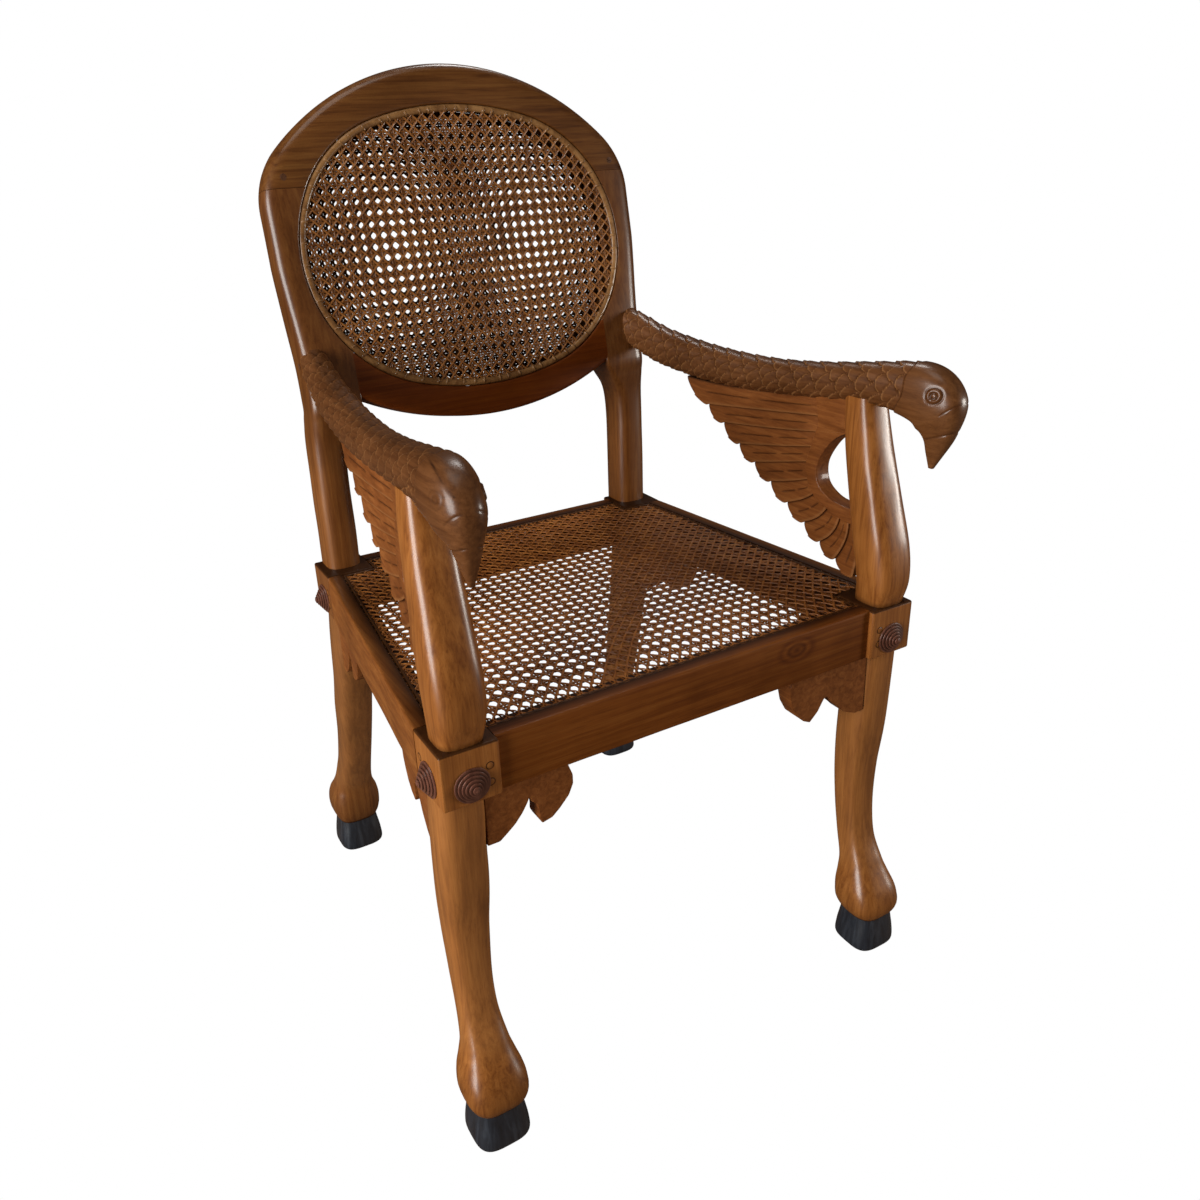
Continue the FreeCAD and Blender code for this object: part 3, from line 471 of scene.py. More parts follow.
def stileRings(side):
    rings, marks = [], []
    rows = stileRows()
    for step in range(stile["sections"] + 1):
        z, inner, outer, front, corner, deep, blend = rowAt(rows, step / stile["sections"])
        up = (z - back["height"]) / rakeCos
        if up > -back["jointDrop"]:
            inner = max(back["jointHalf"], ovalHalfAt(up))
            front = back["depth"] + up * rakeSin
            blend = 1
        if up > back["rise"]:
            outer = stileEdgeAt(up)
        lean = rake * blend
        ripple = Vector((side * stile["seed"][0], stile["seed"][1], z * stile["ripple"]))
        wander = stile["wander"] * noise(ripple) * (1 - blend)
        outline = boardSection(inner, outer, back["thick"] * deep, corner, stile["corner"], steps=5)
        rings.append([atSeat(side * (x + wander), front + d * cos(lean) + wander, z - d * sin(lean))
                      for x, d in outline])
        marks.append([stile["shadeAndTone"] * clamp((z - stile["toneFrom"]) / stile["toneOver"])] * len(outline))
    return rings, marks


for name, side in sides.items():
    bm = bmesh.new()
    for rings, marks in (legRings(backLeg, side, backBlockX, blockY), stileRings(side)):
        skin(bm, rings, marks=marks)
    addBlock(bm, side, backBlockX, blockY)
    piece(bm, "back" + name.title() + "Timber", ["back_" + name + "_leg"], "stileWood", sharp=25)

crest = dict(sections=120, outer=15, inner=3, pastStile=8, jointGap=0.4)
bm = bmesh.new()
rings = []
first = atan2(back["crestJoint"] - back["rise"], back["ringWide"] + crest["pastStile"])
for step in range(crest["sections"] + 1):
    angle = first + (pi - 2 * first) * step / crest["sections"]
    inner, outer = ovalReach(angle), ringReach(angle)
    outline = boardSection(inner, outer, back["thick"], crest["inner"], crest["outer"], steps=5)
    rings.append([atBack(reach * cos(angle), depth, back["rise"] + reach * sin(angle))
                  for reach, depth in outline])
skin(bm, rings)
close(bm)
bmesh.ops.bisect_plane(bm, geom=bm.verts[:] + bm.edges[:] + bm.faces[:], dist=1e-7, clear_outer=True,
                       plane_co=atBack(0, 0, back["crestJoint"] + crest["jointGap"]),
                       plane_no=(0, -rakeSin, -rakeCos))
piece(bm, "crestRail", ["crest_rail"], "ringWood")

lowerRail = dict(sections=80, outer=6, inner=3, letIn=2)
sag = back["lowerDrop"] - back["jointDrop"]
sagRadius = (back["jointHalf"] ** 2 + sag ** 2) / (2 * sag)
bm = bmesh.new()
rings = []
for step in range(lowerRail["sections"] + 1):
    x = (back["jointHalf"] + lowerRail["letIn"]) * (2 * step / lowerRail["sections"] - 1)
    low = -back["lowerDrop"] + sagRadius - sqrt(sagRadius ** 2 - x ** 2)
    outline = boardSection(low, ovalDropAt(x), back["thick"], lowerRail["outer"], lowerRail["inner"], steps=4)
    rings.append([atBack(x, depth, up) for up, depth in outline])
skin(bm, rings)
piece(bm, "lowerBackRail", ["lower_back_rail"], "shadedLowWood")
print("back ring made")

# Hooves, with rows of height and width
hoof = dict(half=28.3, squareness=3.4, sections=24, round=48, rows=[
    (0, .95), (.03, .98), (.1, 1), (.25, .99), (.5, .95), (.8, .88), (1, .84)])


def hoofRings(side, x, y):
    rings = []
    for step in range(hoof["sections"] + 1):
        height, width = rowAt(hoof["rows"], step / hoof["sections"])
        half = hoof["half"] * width
        rings.append([atSeat(side * (x + across), y + deep, hoofTop * height)
                      for across, deep in roundRing(half, half, hoof["squareness"], hoof["round"])])
    return rings


for end, form, x, y in (("front", frontLeg, frontBlockX, -blockY), ("back", backLeg, backBlockX, blockY)):
    for name, side in sides.items():
        bm = bmesh.new()
        skin(bm, hoofRings(side, x + form["offset"] + form["spread"], y + form["sweep"] * form["rows"][0][1]))
        piece(bm, end + name.title() + "Hoof", [end + "_" + name + "_hoof"], "hoofBlack")
print("hooves made")

# Seat rails, with a lip outside the cane and a lower ledge under it
rail = dict(lip=16, thick=30, sink=3.2, backFace=221, inner=176, letIn=0.5, corners=[2, 1, 1, 0.3, 0.8, 2.6],
            stations=30, wander=0.35, ripple=0.35, rippleUp=0.03, seed=(5, 3), ledgeShade=0.9)


def railBoard(name, nodes, start, end, inward, wood):
    # The section goes from the outer face inwards
    ledge = seat["height"] - rail["sink"]
    points = [(0, blockBottom), (rail["thick"], blockBottom), (rail["thick"], ledge), (rail["lip"], ledge),
              (rail["lip"], seat["height"]), (0, seat["height"])]
    section = softCorners(points, rail["corners"])
    # The ledge under the cane is darkened as painted shade
    onLedge = [deep > rail["lip"] - 1 and z > blockBottom + 10 for deep, z in section]
    ledgeMarks = [rail["ledgeShade"] * mark for mark in onLedge]
    seed = inward[1] * rail["seed"][1] + inward[0] * rail["seed"][0]
    rings = []
    for step in range(rail["stations"] + 1):
        middle = Vector(start).lerp(Vector(end), step / rail["stations"])
        ring = []
        for deep, z in section:
            ripple = Vector((step * rail["ripple"], z * rail["rippleUp"], seed))
            depth = deep + rail["wander"] * noise(ripple)
            ring.append(atSeat(middle.x + inward[0] * depth, middle.y + inward[1] * depth, z))
        rings.append(ring)
    bm = bmesh.new()
    skin(bm, rings, marks=[ledgeMarks] * len(rings))
    piece(bm, name, nodes, wood)


frontX = frontInnerX + rail["letIn"]
backX = backInnerX + rail["letIn"]
railBoard("frontRail", ["front_rail"], (-frontX, -seat["railFace"]), (frontX, -seat["railFace"]),
          (0, 1), "railWood")
railBoard("backRail", ["back_rail"], (backX, rail["backFace"]), (-backX, rail["backFace"]),
          (0, -1), "railWood")
for name, side in sides.items():
    railBoard(name + "SideRail", [name + "_side_rail"], (side * seat["halfFront"], -rail["inner"]),
              (side * seat["halfBack"], rail["inner"]), (-side, 0), "sideWood")
print("rails made")

# Bird arms: scales from the stile to the collar, then a smooth head with eyes and beak
# Rows hold reach, lift, tilt, height and width
# The left arm is darkened as painted shade and the right arm lightened as painted light
arm = dict(backX=197, backY=204, datum=638, overhang=87, high=43, wide=38, squareness=2.5,
           along=600, round=132, shadeAndTone={1: -0.03, -1: 0.09}, rows=[
    (-.08, .72, .13, .50, .38), (.05, .40, .13, .50, .41), (.163, .12, .09, .50, .46),
    (.353, -.04, .02, .475, .48), (.535, 0, -.03, .43, .49), (.692, .16, -.06, .43, .50),
    (.847, .36, -.05, .49, .53), (.955, .35, .17, .66, .54), (1, 0, .53, .65, .47),
    (1.003, -.49, .83, .39, .28), (.995, -.91, 1, .20, .16), (.99, -1.24, 1.04, .06, .06)])
# Gap, shadow and collar darkness is painted shade, and the light rim a painted highlight
scales = dict(long=11.5, wide=20, rise=2.8, tip=0.92, dome=0.35, gapDark=0.3, gapWide=1.2, shadow=0.36,
              shadowReach=4, rimHighlight=0.55, rimInset=0.4, collarDark=0.75, collarFade=1.2, collar=[
    (438, 693), (437.8, 679), (435.1, 669.4), (435.4, 656.6), (433, 648.8), (426.2, 639.1), (419, 630),
    (412, 621)])
# Eye rings hold radius, width and how far they rise or darken, the darkening being painted shade in the cut
# rings
# Beak lines hold start, end, depth and width, and are darkened as painted shade in the grooves
eye = dict(along=467, z=657, squash=1.1, cheek=1.6, outerCheek=0.25,
           rises=[(5.2, 1.3, 0.9), (2.9, 0.8, -0.9), (8.0, 1.0, -0.7)],
           shades=[(2.9, 0.8, 0.75), (7.6, 0.9, 0.55)])
beak = dict(dark=0.6, lines=[((455, 613), (490, 626), 0.7, 0.9), ((474, 640), (487, 651), 0.5, 0.7)])
# The left head is turned a little inwards and has a crack
leftHead = dict(turnIn=9, turnOver=150, turnPower=1.5, crackWide=0.8, crackDark=0.95, pastCollar=2, crack=[
    (-242, -216, 677), (-247, -238, 678), (-248.5, -247, 677), (-249, -261, 670), (-246, -274, 661)])
crackLine = [atSeat(*point) for point in leftHead["crack"]]
postTopX = frontBlockX + post["offset"]
postTopY = -blockY + post["sweep"] * post["rows"][-1][1]
splay = atan2(postTopX - arm["backX"], arm["backY"] - postTopY)
armReach = hypot(postTopX - arm["backX"], arm["backY"] - postTopY) + arm["overhang"]


def atArm(side, across, along, z):
    x = arm["backX"] + across * cos(splay) + along * sin(splay)
    y = arm["backY"] + across * sin(splay) - along * cos(splay)
    return atSeat(side * x, y, z)


def collarAt(z):
    curve = scales["collar"]
    for (highAlong, high), (lowAlong, low) in zip(curve, curve[1:]):
        if z >= low:
            return lowAlong + (highAlong - lowAlong) * clamp((z - low) / (high - low))
    return curve[-1][0]


def scaleLift(fromCollar, around):
    # Height of overlapping scales whose free ends point away from the head, with painted shade in the gaps
    # and behind each free end and a painted highlight along its rim
    length = scales["long"]
    first = int(fromCollar // length) - 2
    beyond = length
    for row in range(first, first + 3):
        cell = around / scales["wide"] - 0.5 * (row % 2)
        offset = (cell - round(cell)) * 2
        end = length * (scales["tip"] + sqrt(max(1 - offset * offset, 0)))
        past = fromCollar - row * length
        if past <= end:
            slope = past / (length * (1 + scales["tip"])) * (1 - scales["dome"] * offset * offset)
            dark = scales["gapDark"] * bump(beyond, scales["gapWide"])
            dark += scales["shadow"] * exp(-beyond / scales["shadowReach"])
            dark -= scales["rimHighlight"] * bump(end - past - scales["rimInset"], 1.0)
            return scales["rise"] * slope, dark
        beyond = min(beyond, past - end)
    return 0.0, 0.0


def lineDistance(point, start, end):
    run = Vector(end) - Vector(start)
    t = clamp((Vector(point) - Vector(start)).dot(run) / run.length_squared)
    return (Vector(point) - Vector(start) - run * t).length


def headLift(along, z, sideways):
    # Eyes are cut on the inner cheek, and only hinted at on the outer one
    flat = clamp(abs(sideways) * eye["cheek"])
    fromEye = hypot(along - eye["along"], (z - eye["z"]) * eye["squash"])
    cut = flat * (1 if sideways < 0 else eye["outerCheek"])
    lift = cut * sum(rise * bump(fromEye - radius, width) for radius, width, rise in eye["rises"])
    dark = cut * sum(shade * bump(fromEye - radius, width) for radius, width, shade in eye["shades"])
    for start, end, depth, width in beak["lines"]:
        line = flat * depth * bump(lineDistance((along, z), start, end), width)
        lift -= line
        dark += beak["dark"] * line
    return lift, min(dark, 1)


def carving(behind, along, z, around, sideways):
    # Lift and darkness, with scales behind the collar and the head before it
    if behind <= 0:
        return headLift(along, z, sideways)
    lift, dark = scaleLift(behind, around)
    fade = min(behind / scales["collarFade"], 1)
    return (lift - scales["rise"]) * fade, dark + scales["collarDark"] * bump(behind, 1.0)


def crackShade(spot):
    away = min(lineDistance(spot, start, end) for start, end in zip(crackLine, crackLine[1:]))
    return leftHead["crackDark"] * bump(away, leftHead["crackWide"] * mm)


def armRings(side):
    rings, marks = [], []
    rows = [rowAt(arm["rows"], k / arm["along"]) for k in range(arm["along"] + 1)]
    middles = [(armReach * row[0], arm["datum"] + arm["high"] * row[1]) for row in rows]
    lengths = [0.0]
    for before, after in zip(middles, middles[1:]):
        lengths.append(lengths[-1] + dist(before, after))
    power = arm["squareness"] - 1
    for (_, _, tilt, height, width), (middleAlong, middleZ), path in zip(rows, middles, lengths):
        halfWide, halfHigh = arm["wide"] * width, arm["high"] * height
        turn = radians(90 + 90 * tilt)
        fromEnd = (path - lengths[-1]) / leftHead["turnOver"]
        turnIn = leftHead["turnIn"] * clamp(1 + fromEnd) ** leftHead["turnPower"] if side < 0 else 0
        outline = roundRing(halfWide, halfHigh, arm["squareness"], arm["round"])
        perimeter = [0.0]
        for before, after in zip(outline, outline[1:]):
            perimeter.append(perimeter[-1] + dist(before, after))
        top = perimeter[arm["round"] // 4]
        ring, dark = [], []
        for (across, up), around in zip(outline, perimeter):
            normal = Vector((copysign((abs(across) / halfWide) ** power, across) / halfWide,
                             copysign((abs(up) / halfHigh) ** power, up) / halfHigh)).normalized()
            along = middleAlong - up * cos(turn)
            z = middleZ + up * sin(turn)
            behind = collarAt(z) - along
            lift, shade = carving(behind, along, z, around - top, normal.x)
            up += normal.y * lift
            spot = atArm(side, across + normal.x * lift - turnIn, middleAlong - up * cos(turn),
                         middleZ + up * sin(turn))
            if side < 0 and behind < leftHead["pastCollar"]:
                shade += crackShade(spot)
            ring.append(spot)
            dark.append(shade + arm["shadeAndTone"][side])
        rings.append(ring)
        marks.append(dark)
    return rings, marks


for name, side in sides.items():
    bm = bmesh.new()
    rings, marks = armRings(side)
    skin(bm, rings, marks=marks)
    piece(bm, name + "Arm", [name + "_arm"], "armWood", sharp=50)
print("arms made")

# Wings: overlapping feathers run from a smooth rim round the open eye to scalloped ends
# Each line between two feathers has a start, a middle and an end, along the arm and up
wing = dict(thick=18, bulge=7, shingle=2.4, edgeDrop=0.9, groove=0.9, cuts=[(0.12, 0.42), (0.5, 0.9)],
            along=24, tip=8, columns=22, edgeDark=0.95, cutDark=0.7, paleEdge=0.3, lines=[
    ((356, 633), (215, 619), (120, 617)),
    ((326, 610), (240, 600), (158, 591)),
    ((325, 593), (260, 583.6), (184, 575)),
    ((319, 576), (267, 565.5), (210, 555.5)),
    ((312.5, 558.4), (273.3, 548.9), (235, 540)),
    ((315.2, 539.7), (290.7, 531.6), (261, 524)),
    ((324, 525.5), (307.8, 515), (287, 506.5)),
    ((344, 515.4), (332.3, 501.8), (313, 491)),
    ((361.8, 510), (353.6, 490.2), (336, 475.5)),
    ((374.3, 507.5), (371.4, 486.2), (359, 463)),
    ((392, 507), (390, 483), (385, 451))])
rim = dict(thick=19.5, soft=1.6, sections=80, stations=[
    ((318, 645), (392, 645)), ((322, 623), (392, 623)), ((325.6, 602.7), (392, 605)),
    ((322, 590), (366, 600)), ((317, 573), (346, 587)), ((312.5, 558.4), (331, 565)),
    ((315.1, 540.7), (328.5, 549)), ((325.4, 524.8), (334, 536)), ((343.9, 515.4), (349, 526.6)),
    ((361.7, 509), (366, 523.5)), ((376, 507), (376, 523)), ((394, 506), (394, 524))])


def through(points, t):
    # Quadratic curve through a start, a middle and an end
    start, middle, end = (Vector(point) for point in points)
    return start * (1 - t) * (1 - 2 * t) + middle * 4 * t * (1 - t) + end * t * (2 * t - 1)


def featherRings(side, upper, lower):
    # A feather between two lines, sunk under the one above and rounded at its end, darkened as painted shade
    # along its sunk edge and in its cut lines, and paler near its lower edge
    rings, marks = [], []
    stations = [(k / wing["along"], 0) for k in range(wing["along"] + 1)]
    stations += [(1, radians(90 * k / wing["tip"])) for k in range(1, wing["tip"] + 1)]
    run = through(lower, 1) - through(upper, 1)
    out = Vector((run.y, -run.x)).normalized() * wing["bulge"]
    out = -out if out.x > 0 else out
    for t, swing in stations:
        start, end = through(upper, t), through(lower, t)
        middle = (start + end) / 2 + out * sin(swing)
        half = (end - start) / 2 * max(cos(swing), 0.02)
        isCut = swing == 0 and any(first < t < last for first, last in wing["cuts"])
        face, dark = [], []
        for k in range(wing["columns"] + 1):
            c = 2 * k / wing["columns"] - 1
            line = isCut * bump(c, 0.07)
            drop = wing["shingle"] * (1 - c) / 2 + wing["groove"] * line
            drop += wing["edgeDrop"] * bump(abs(c) - 1, 0.1)
            face.append((middle + half * c, wing["thick"] / 2 - drop))
            shade = min(1, wing["edgeDark"] * bump(c + 1, 0.13) + wing["cutDark"] * line)
            dark.append(shade - wing["paleEdge"] * bump(c - 0.9, 0.1))
        ring = [atArm(side, -deep, place.x, place.y) for place, deep in face]
        ring += [atArm(side, deep, place.x, place.y) for place, deep in reversed(face)]
        rings.append(ring)
        marks.append(dark + dark[::-1])
    return rings, marks


def rimRings(side):
    rings = []
    flat = [(*outer, *inner) for outer, inner in rim["stations"]]
    for step in range(rim["sections"] + 1):
        ax, az, bx, bz = rowAt(flat, step / rim["sections"])
        width = dist((ax, az), (bx, bz))
        outline = boardSection(0, width, rim["thick"], rim["soft"], rim["soft"])
        rings.append([atArm(side, deep - rim["thick"] / 2, ax + (bx - ax) * s / width,
                            az + (bz - az) * s / width) for s, deep in outline])
    return rings


for name, side in sides.items():
    bm = bmesh.new()
    for upper, lower in zip(wing["lines"], wing["lines"][1:]):
        rings, marks = featherRings(side, upper, lower)
        skin(bm, rings, marks=marks)
    skin(bm, rimRings(side))
    piece(bm, name + "Wing", [name + "_wing"], "wingWood", sharp=40)
print("wings made")

# Corner brackets cut as small bird heads, outlined inwards from the leg and down from the rail
bracket = dict(thick=20, letIn=12, face=-215, setIn=5, corner=1.2, edge=[(0, 0.9), (0.3, 0.3), (1, 0)],
               outlines={
    "frontLeft": [(0, 60), (8, 54), (16, 47.5), (23.4, 38.8), (28.9, 30), (31, 25), (33, 31), (38.4, 36),
                  (39.4, 45), (39, 51), (42, 57.5), (52.4, 55.2), (60.4, 48.5), (70.2, 38), (75, 27.3),
                  (75, 18), (70.7, 6)],
    "frontRight": [(0, 70), (15.8, 63), (23.6, 55), (35.2, 44), (38.5, 38), (41.5, 36.5), (45, 38), (48, 43),
                   (52.1, 50.2), (57, 55), (62.6, 60.4), (70.6, 56.5), (80.6, 47.4), (88.2, 33.6), (91.6, 19),
                   (91.7, 10), (88, 3)],
    "side": [(0, 68), (12.3, 60.4), (24.6, 48.3), (32, 34), (36.9, 22), (40, 28), (45.5, 30.7), (45.6, 45.7),
             (49.2, 51.9), (60, 49), (69.7, 42.5), (76, 33), (80.8, 22.4), (82, 10.6), (77, 0)]})


def makeBracket(name, node, shape, corner, along, thickWay):
    points = bracket["outlines"][shape]
    points = [(-bracket["letIn"], 0), (-bracket["letIn"], points[0][1])] + points + [(points[-1][0], 0)]
    outline = [Vector((x, -down)) for x, down in softCorners(points, bracket["corner"], steps=2)]
    count = len(outline)
    front = bracket["edge"]
    layers = front + [(bracket["thick"] - depth, inset) for depth, inset in reversed(front)]
    rings = []
    for depth, inset in layers:
        ring = []
        for k, point in enumerate(outline):
            run = (outline[(k + 1) % count] - outline[k - 1]).normalized()
            spot = point + Vector((-run.y, run.x)) * inset
            place = Vector(corner) + Vector(along) * spot.x + Vector(thickWay) * depth
            ring.append(atSeat(place.x, place.y, blockBottom + spot.y))
        rings.append(ring)
    bm = bmesh.new()
    skin(bm, rings)
    piece(bm, name, [node], "wingWood", sharp=40)


narrowing = seat["halfBack"] - seat["halfFront"]
sideRun = Vector((narrowing, 2 * rail["inner"])).normalized()
for name, side in sides.items():
    makeBracket("front" + name.title() + "Bracket", "front_" + name + "_bracket",
                "front" + name.title(), (side * frontInnerX, bracket["face"]), (-side, 0), (0, 1))
    along = Vector((side * sideRun.x, sideRun.y))
    inward = Vector((-side * sideRun.y, sideRun.x))
    for end, x, y, way in (("front", seat["halfFront"], -rail["inner"], 1),
                           ("back", seat["halfBack"], rail["inner"], -1)):
        corner = Vector((side * x, y)) + inward * bracket["setIn"]
        makeBracket(name + "Side" + end.title() + "Bracket", name + "_side_" + end + "_bracket",
                    "side", corner, along * way, inward)
print("brackets made")

# Turned studs, one bead above another
# Bead rows hold a share of the bead's radius, what is added to it, a share of its height and darkness, which
# is painted shade in the grooves between beads and at the foot
stud = dict(radius=16.5, high=11, beads=6, taper=0.4, z=398, bead=[
    (0.93, -0.4, 0, 0.8), (1, 0, 0.25, 0), (0.99, 0, 0.75, 0), (1, -1.5, 0.98, 0.5)])
turnedRound = 36
pegs = dict(inset=10, gap=16, profile=[
    (3.8, -2, 1), (3.8, 0.1, 1), (3.1, 0.15, 0.9), (2.9, 0.3, 0.25), (0.05, 0.4, 0.2)])


def addTurned(bm, place, outward, profile):
    # Round form from rows of radius, rise and darkness
    across = Vector((outward[1], -outward[0], 0))
    rings, marks = [], []
    for radius, rise, dark in profile:
        ring = []
        for k in range(turnedRound):
            angle = 2 * pi * k / turnedRound
            turned = across * radius * cos(angle) + Vector((0, 0, radius * sin(angle)))
            ring.append((Vector((*outward, 0)) * rise + turned) * mm + place)
        rings.append(ring)
        marks.append([dark] * len(ring))
    skin(bm, rings, marks=marks)


studProfile = [(stud["radius"] * 0.94, -0.5, 0.9)]
tall = stud["high"] / stud["beads"]
for bead in range(stud["beads"]):
    wide = stud["radius"] * (1 - bead / (stud["beads"] + stud["taper"]))
    studProfile += [(wide * share + more, tall * (bead + up), dark) for share, more, up, dark in stud["bead"]]
studProfile += [(1.2, stud["high"] + 0.4, 0), (0.05, stud["high"] + 0.5, 0)]
bm = bmesh.new()
for side in sides.values():
    addTurned(bm, atSeat(side * frontBlockX, -seat["halfDepth"], stud["z"]), (0, -1), studProfile)
    addTurned(bm, atSeat(side * seat["halfFront"], -blockY, stud["z"]), (side, 0), studProfile)
    addTurned(bm, atSeat(side * seat["halfBack"], blockY, stud["z"]), (side, 0), studProfile)
piece(bm, "turnedStuds", ["turned_studs"], "studWood", sharp=50)

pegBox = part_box("rail_pegs")
pegMiddle = (pegBox[0].z + pegBox[1].z) / 2 / mm
bm = bmesh.new()
for side in sides.values():
    for z in (pegMiddle - pegs["gap"] / 2, pegMiddle + pegs["gap"] / 2):
        for x, y, outward in ((frontInnerX + pegs["inset"], -seat["halfDepth"], (0, -1)),
                              (backInnerX + pegs["inset"], seat["halfDepth"], (0, 1)),
                              (seat["halfFront"], -rail["inner"] - pegs["inset"], (side, 0)),
                              (seat["halfBack"], rail["inner"] + pegs["inset"], (side, 0))):
            addTurned(bm, atSeat(side * x, y, z), outward, pegs["profile"])
piece(bm, "railPegs", ["rail_pegs"], "legWood", sharp=50)
print("studs and pegs made")

# Six-way cane: pairs both ways with single strands on both diagonals
# Strand edges and the pairs under the diagonals are darkened as painted shade, and the diagonals on top
# lightened as painted light
cane = dict(pair=1.25, wide=2.2, thick=0.9, wave=0.8, seatTop=430, edgeDark=0.45, shortest=3,
            uprightDark=0.2, levelDark=0.3, diagonalDark=-0.15)
seatWeave = dict(pitch=(12.05, 12.1), shift=(0, -2.35), lastRow=-14, front=-190, slack=7.3, slackFrom=-117,
                 slackOver=48, gather=0.85, gatherFrom=-187, gatherOver=20)
backPanels = dict(front=dict(depth=3, out=-1, pitch=(12.0, 11.9), shift=(3.7, 3.5)),
                  rear=dict(depth=35, out=1, pitch=(11.53, 11.69), shift=(0.45, 7.15)))


def clipLine(start, run, outline):
    # Spans of a line that lie inside the outline
    cuts = []
    for k, corner in enumerate(outline):
        a, b = Vector(corner), Vector(outline[(k + 1) % len(outline)])
        edge = b - a
        turn = run.x * edge.y - run.y * edge.x
        if abs(turn) < 1e-9:
            continue
        gap = a - start
        along = (gap.x * edge.y - gap.y * edge.x) / turn
        share = (gap.x * run.y - gap.y * run.x) / turn
        if 0 <= share < 1:
            cuts.append(along)
    cuts.sort()
    return [(a, b) for a, b in zip(cuts[::2], cuts[1::2]) if b - a > cane["shortest"]]


def addStrand(bm, start, run, span, wide, lift, place, step, dark=0.0):
    # A flat strip with a rounded top, lifted along its run, with its edges darkened as painted shade
    across = Vector((-run.y, run.x))
    first, last = span
    inner = range(ceil(first / step + 0.2), int((last / step - 0.2) // 1) + 1)
    rings = []
    for along in [first] + [k * step for k in inner] + [last]:
        middle = start + run * along
        up = lift(middle)
        ring = []
        for c, h in ((-0.5, 0), (-0.2, 1), (0.2, 1), (0.5, 0)):
            point = middle + across * wide * c
            ring.append(place(point.x, point.y, up + h * cane["thick"]))
        rings.append(ring)
    edgeDark = dark + cane["edgeDark"]
    skin(bm, rings, marks=[[edgeDark, dark, dark, edgeDark]] * len(rings))


def weave(bm, outline, place, pitch, shift, lastRow=None):
    # Strands are laid out in cells, whose holes are half a cell off the crossings of the pairs
    cell, origin = Vector(pitch), Vector(shift)
    count = ceil(max(Vector(point).length for point in outline) * 1.3 / min(pitch))

    def inCells(point):
        return Vector(((point.x - origin.x) / cell.x, (point.y - origin.y) / cell.y))

    def overUnder(sign, axis):
        return lambda point: sign * cane["wave"] * 0.5 * cos(pi * inCells(point)[axis])

    def diagonalLift(sign):
        return lambda point: cane["wave"] * (0.8 + sign * 0.6 * cos(2 * pi * inCells(point).x))

    strands = []
    for k in range(-count, count + 1):
        for gap in (-1, 1):
            uprightStart = Vector((k + gap * cane["pair"] / cell.x, 0))
            levelStart = Vector((0, k + gap * cane["pair"] / cell.y))
            strands.append((uprightStart, Vector((0, 1)), overUnder(gap, 1), cane["uprightDark"]))
            if lastRow is None or k >= lastRow:
                strands.append((levelStart, Vector((1, 0)), overUnder(-gap, 0), cane["levelDark"]))
    for k in range(-2 * count, 2 * count + 1):
        for way in (1, -1):
            strands.append((Vector((k + 0.5, 0)), Vector((way, 1)), diagonalLift(way), cane["diagonalDark"]))
    for start, run, lift, dark in strands:
        run = (run * cell).normalized()
        for span in clipLine(start * cell + origin, run, outline):
            addStrand(bm, start * cell + origin, run, span, cane["wide"], lift, place, min(pitch) / 2, dark)


def slackY(y):
    # Rows are wider apart by the front rail
    slack = max(seatWeave["slackFrom"] - y, 0) / seatWeave["slackOver"]
    return y - seatWeave["slack"] * slack * slack


def seatPlace(x, y, up):
    # Strands gather in the holes of the front rail
    pitch = seatWeave["pitch"][0]
    column = round(x / pitch)
    hole = (column + copysign(0.5, x / pitch - column)) * pitch
    gather = seatWeave["gather"] * clamp((seatWeave["gatherFrom"] - slackY(y)) / seatWeave["gatherOver"])
    return atSeat(x + (hole - x) * gather, slackY(y), cane["seatTop"] + up)


def onPanel(panel, rest=0.0):
    # Gives places on a back panel from across, up and out
    return lambda x, up, out: atBack(x, panel["depth"] + panel["out"] * (out + rest), back["rise"] + up)


def ovalLine(inset, count):
    line = []
    for k in range(count):
        angle = 2 * pi * k / count
        reach = ovalReach(angle, inset)
        line.append((reach * cos(angle), reach * sin(angle)))
    return line


# The seat's opening runs round the lips of the rails and the four blocks
seatOutline = [(frontInnerX, rail["lip"] - seat["railFace"]), (frontInnerX, -rail["inner"]),
               (seat["halfFront"] - rail["lip"], -rail["inner"]),
               (seat["halfBack"] - rail["lip"], rail["inner"]),
               (backInnerX, rail["inner"]), (backInnerX, rail["backFace"] - rail["lip"])]
seatOutline += [(-x, y) for x, y in reversed(seatOutline)]
woven = [(x, max(y, seatWeave["front"])) for x, y in seatOutline]
bm = bmesh.new()
weave(bm, woven, seatPlace, seatWeave["pitch"], seatWeave["shift"], seatWeave["lastRow"])
piece(bm, "seatCane", ["seat_cane"], "seatGoldLit", sharp=60)
for layer, panel in backPanels.items():
    bm = bmesh.new()
    weave(bm, ovalLine(inset=1, count=96), onPanel(panel), panel["pitch"], panel["shift"])
    piece(bm, "backCane" + layer.title(), ["back_cane_" + layer], "caneGold", sharp=60)
print("cane made")

# Split cane strip round each panel, tied down on the back
# Section rows hold a share of the width, a share of the thickness and darkness
binder = dict(wide=7.5, thick=2.6, inset=3.9, lift=0.6, stations=240, section=[
    (-0.5, 0, 0.8), (-0.42, 0.55, 0.2), (-0.2, 0.95, 0), (0.2, 0.95, 0), (0.42, 0.55, 0.2), (0.5, 0, 0.8)])
ties = dict(count=62, wide=2.6, outer=0.8, inner=8.5, high=0.95, step=2, drift=0.2, driftTurn=2.3)
# The seat's strip is darkened as painted shade, to look like a groove
seatBinder = dict(wide=4, thick=1.6, lift=0.8, step=14, shrink=0.988, dark=0.8)


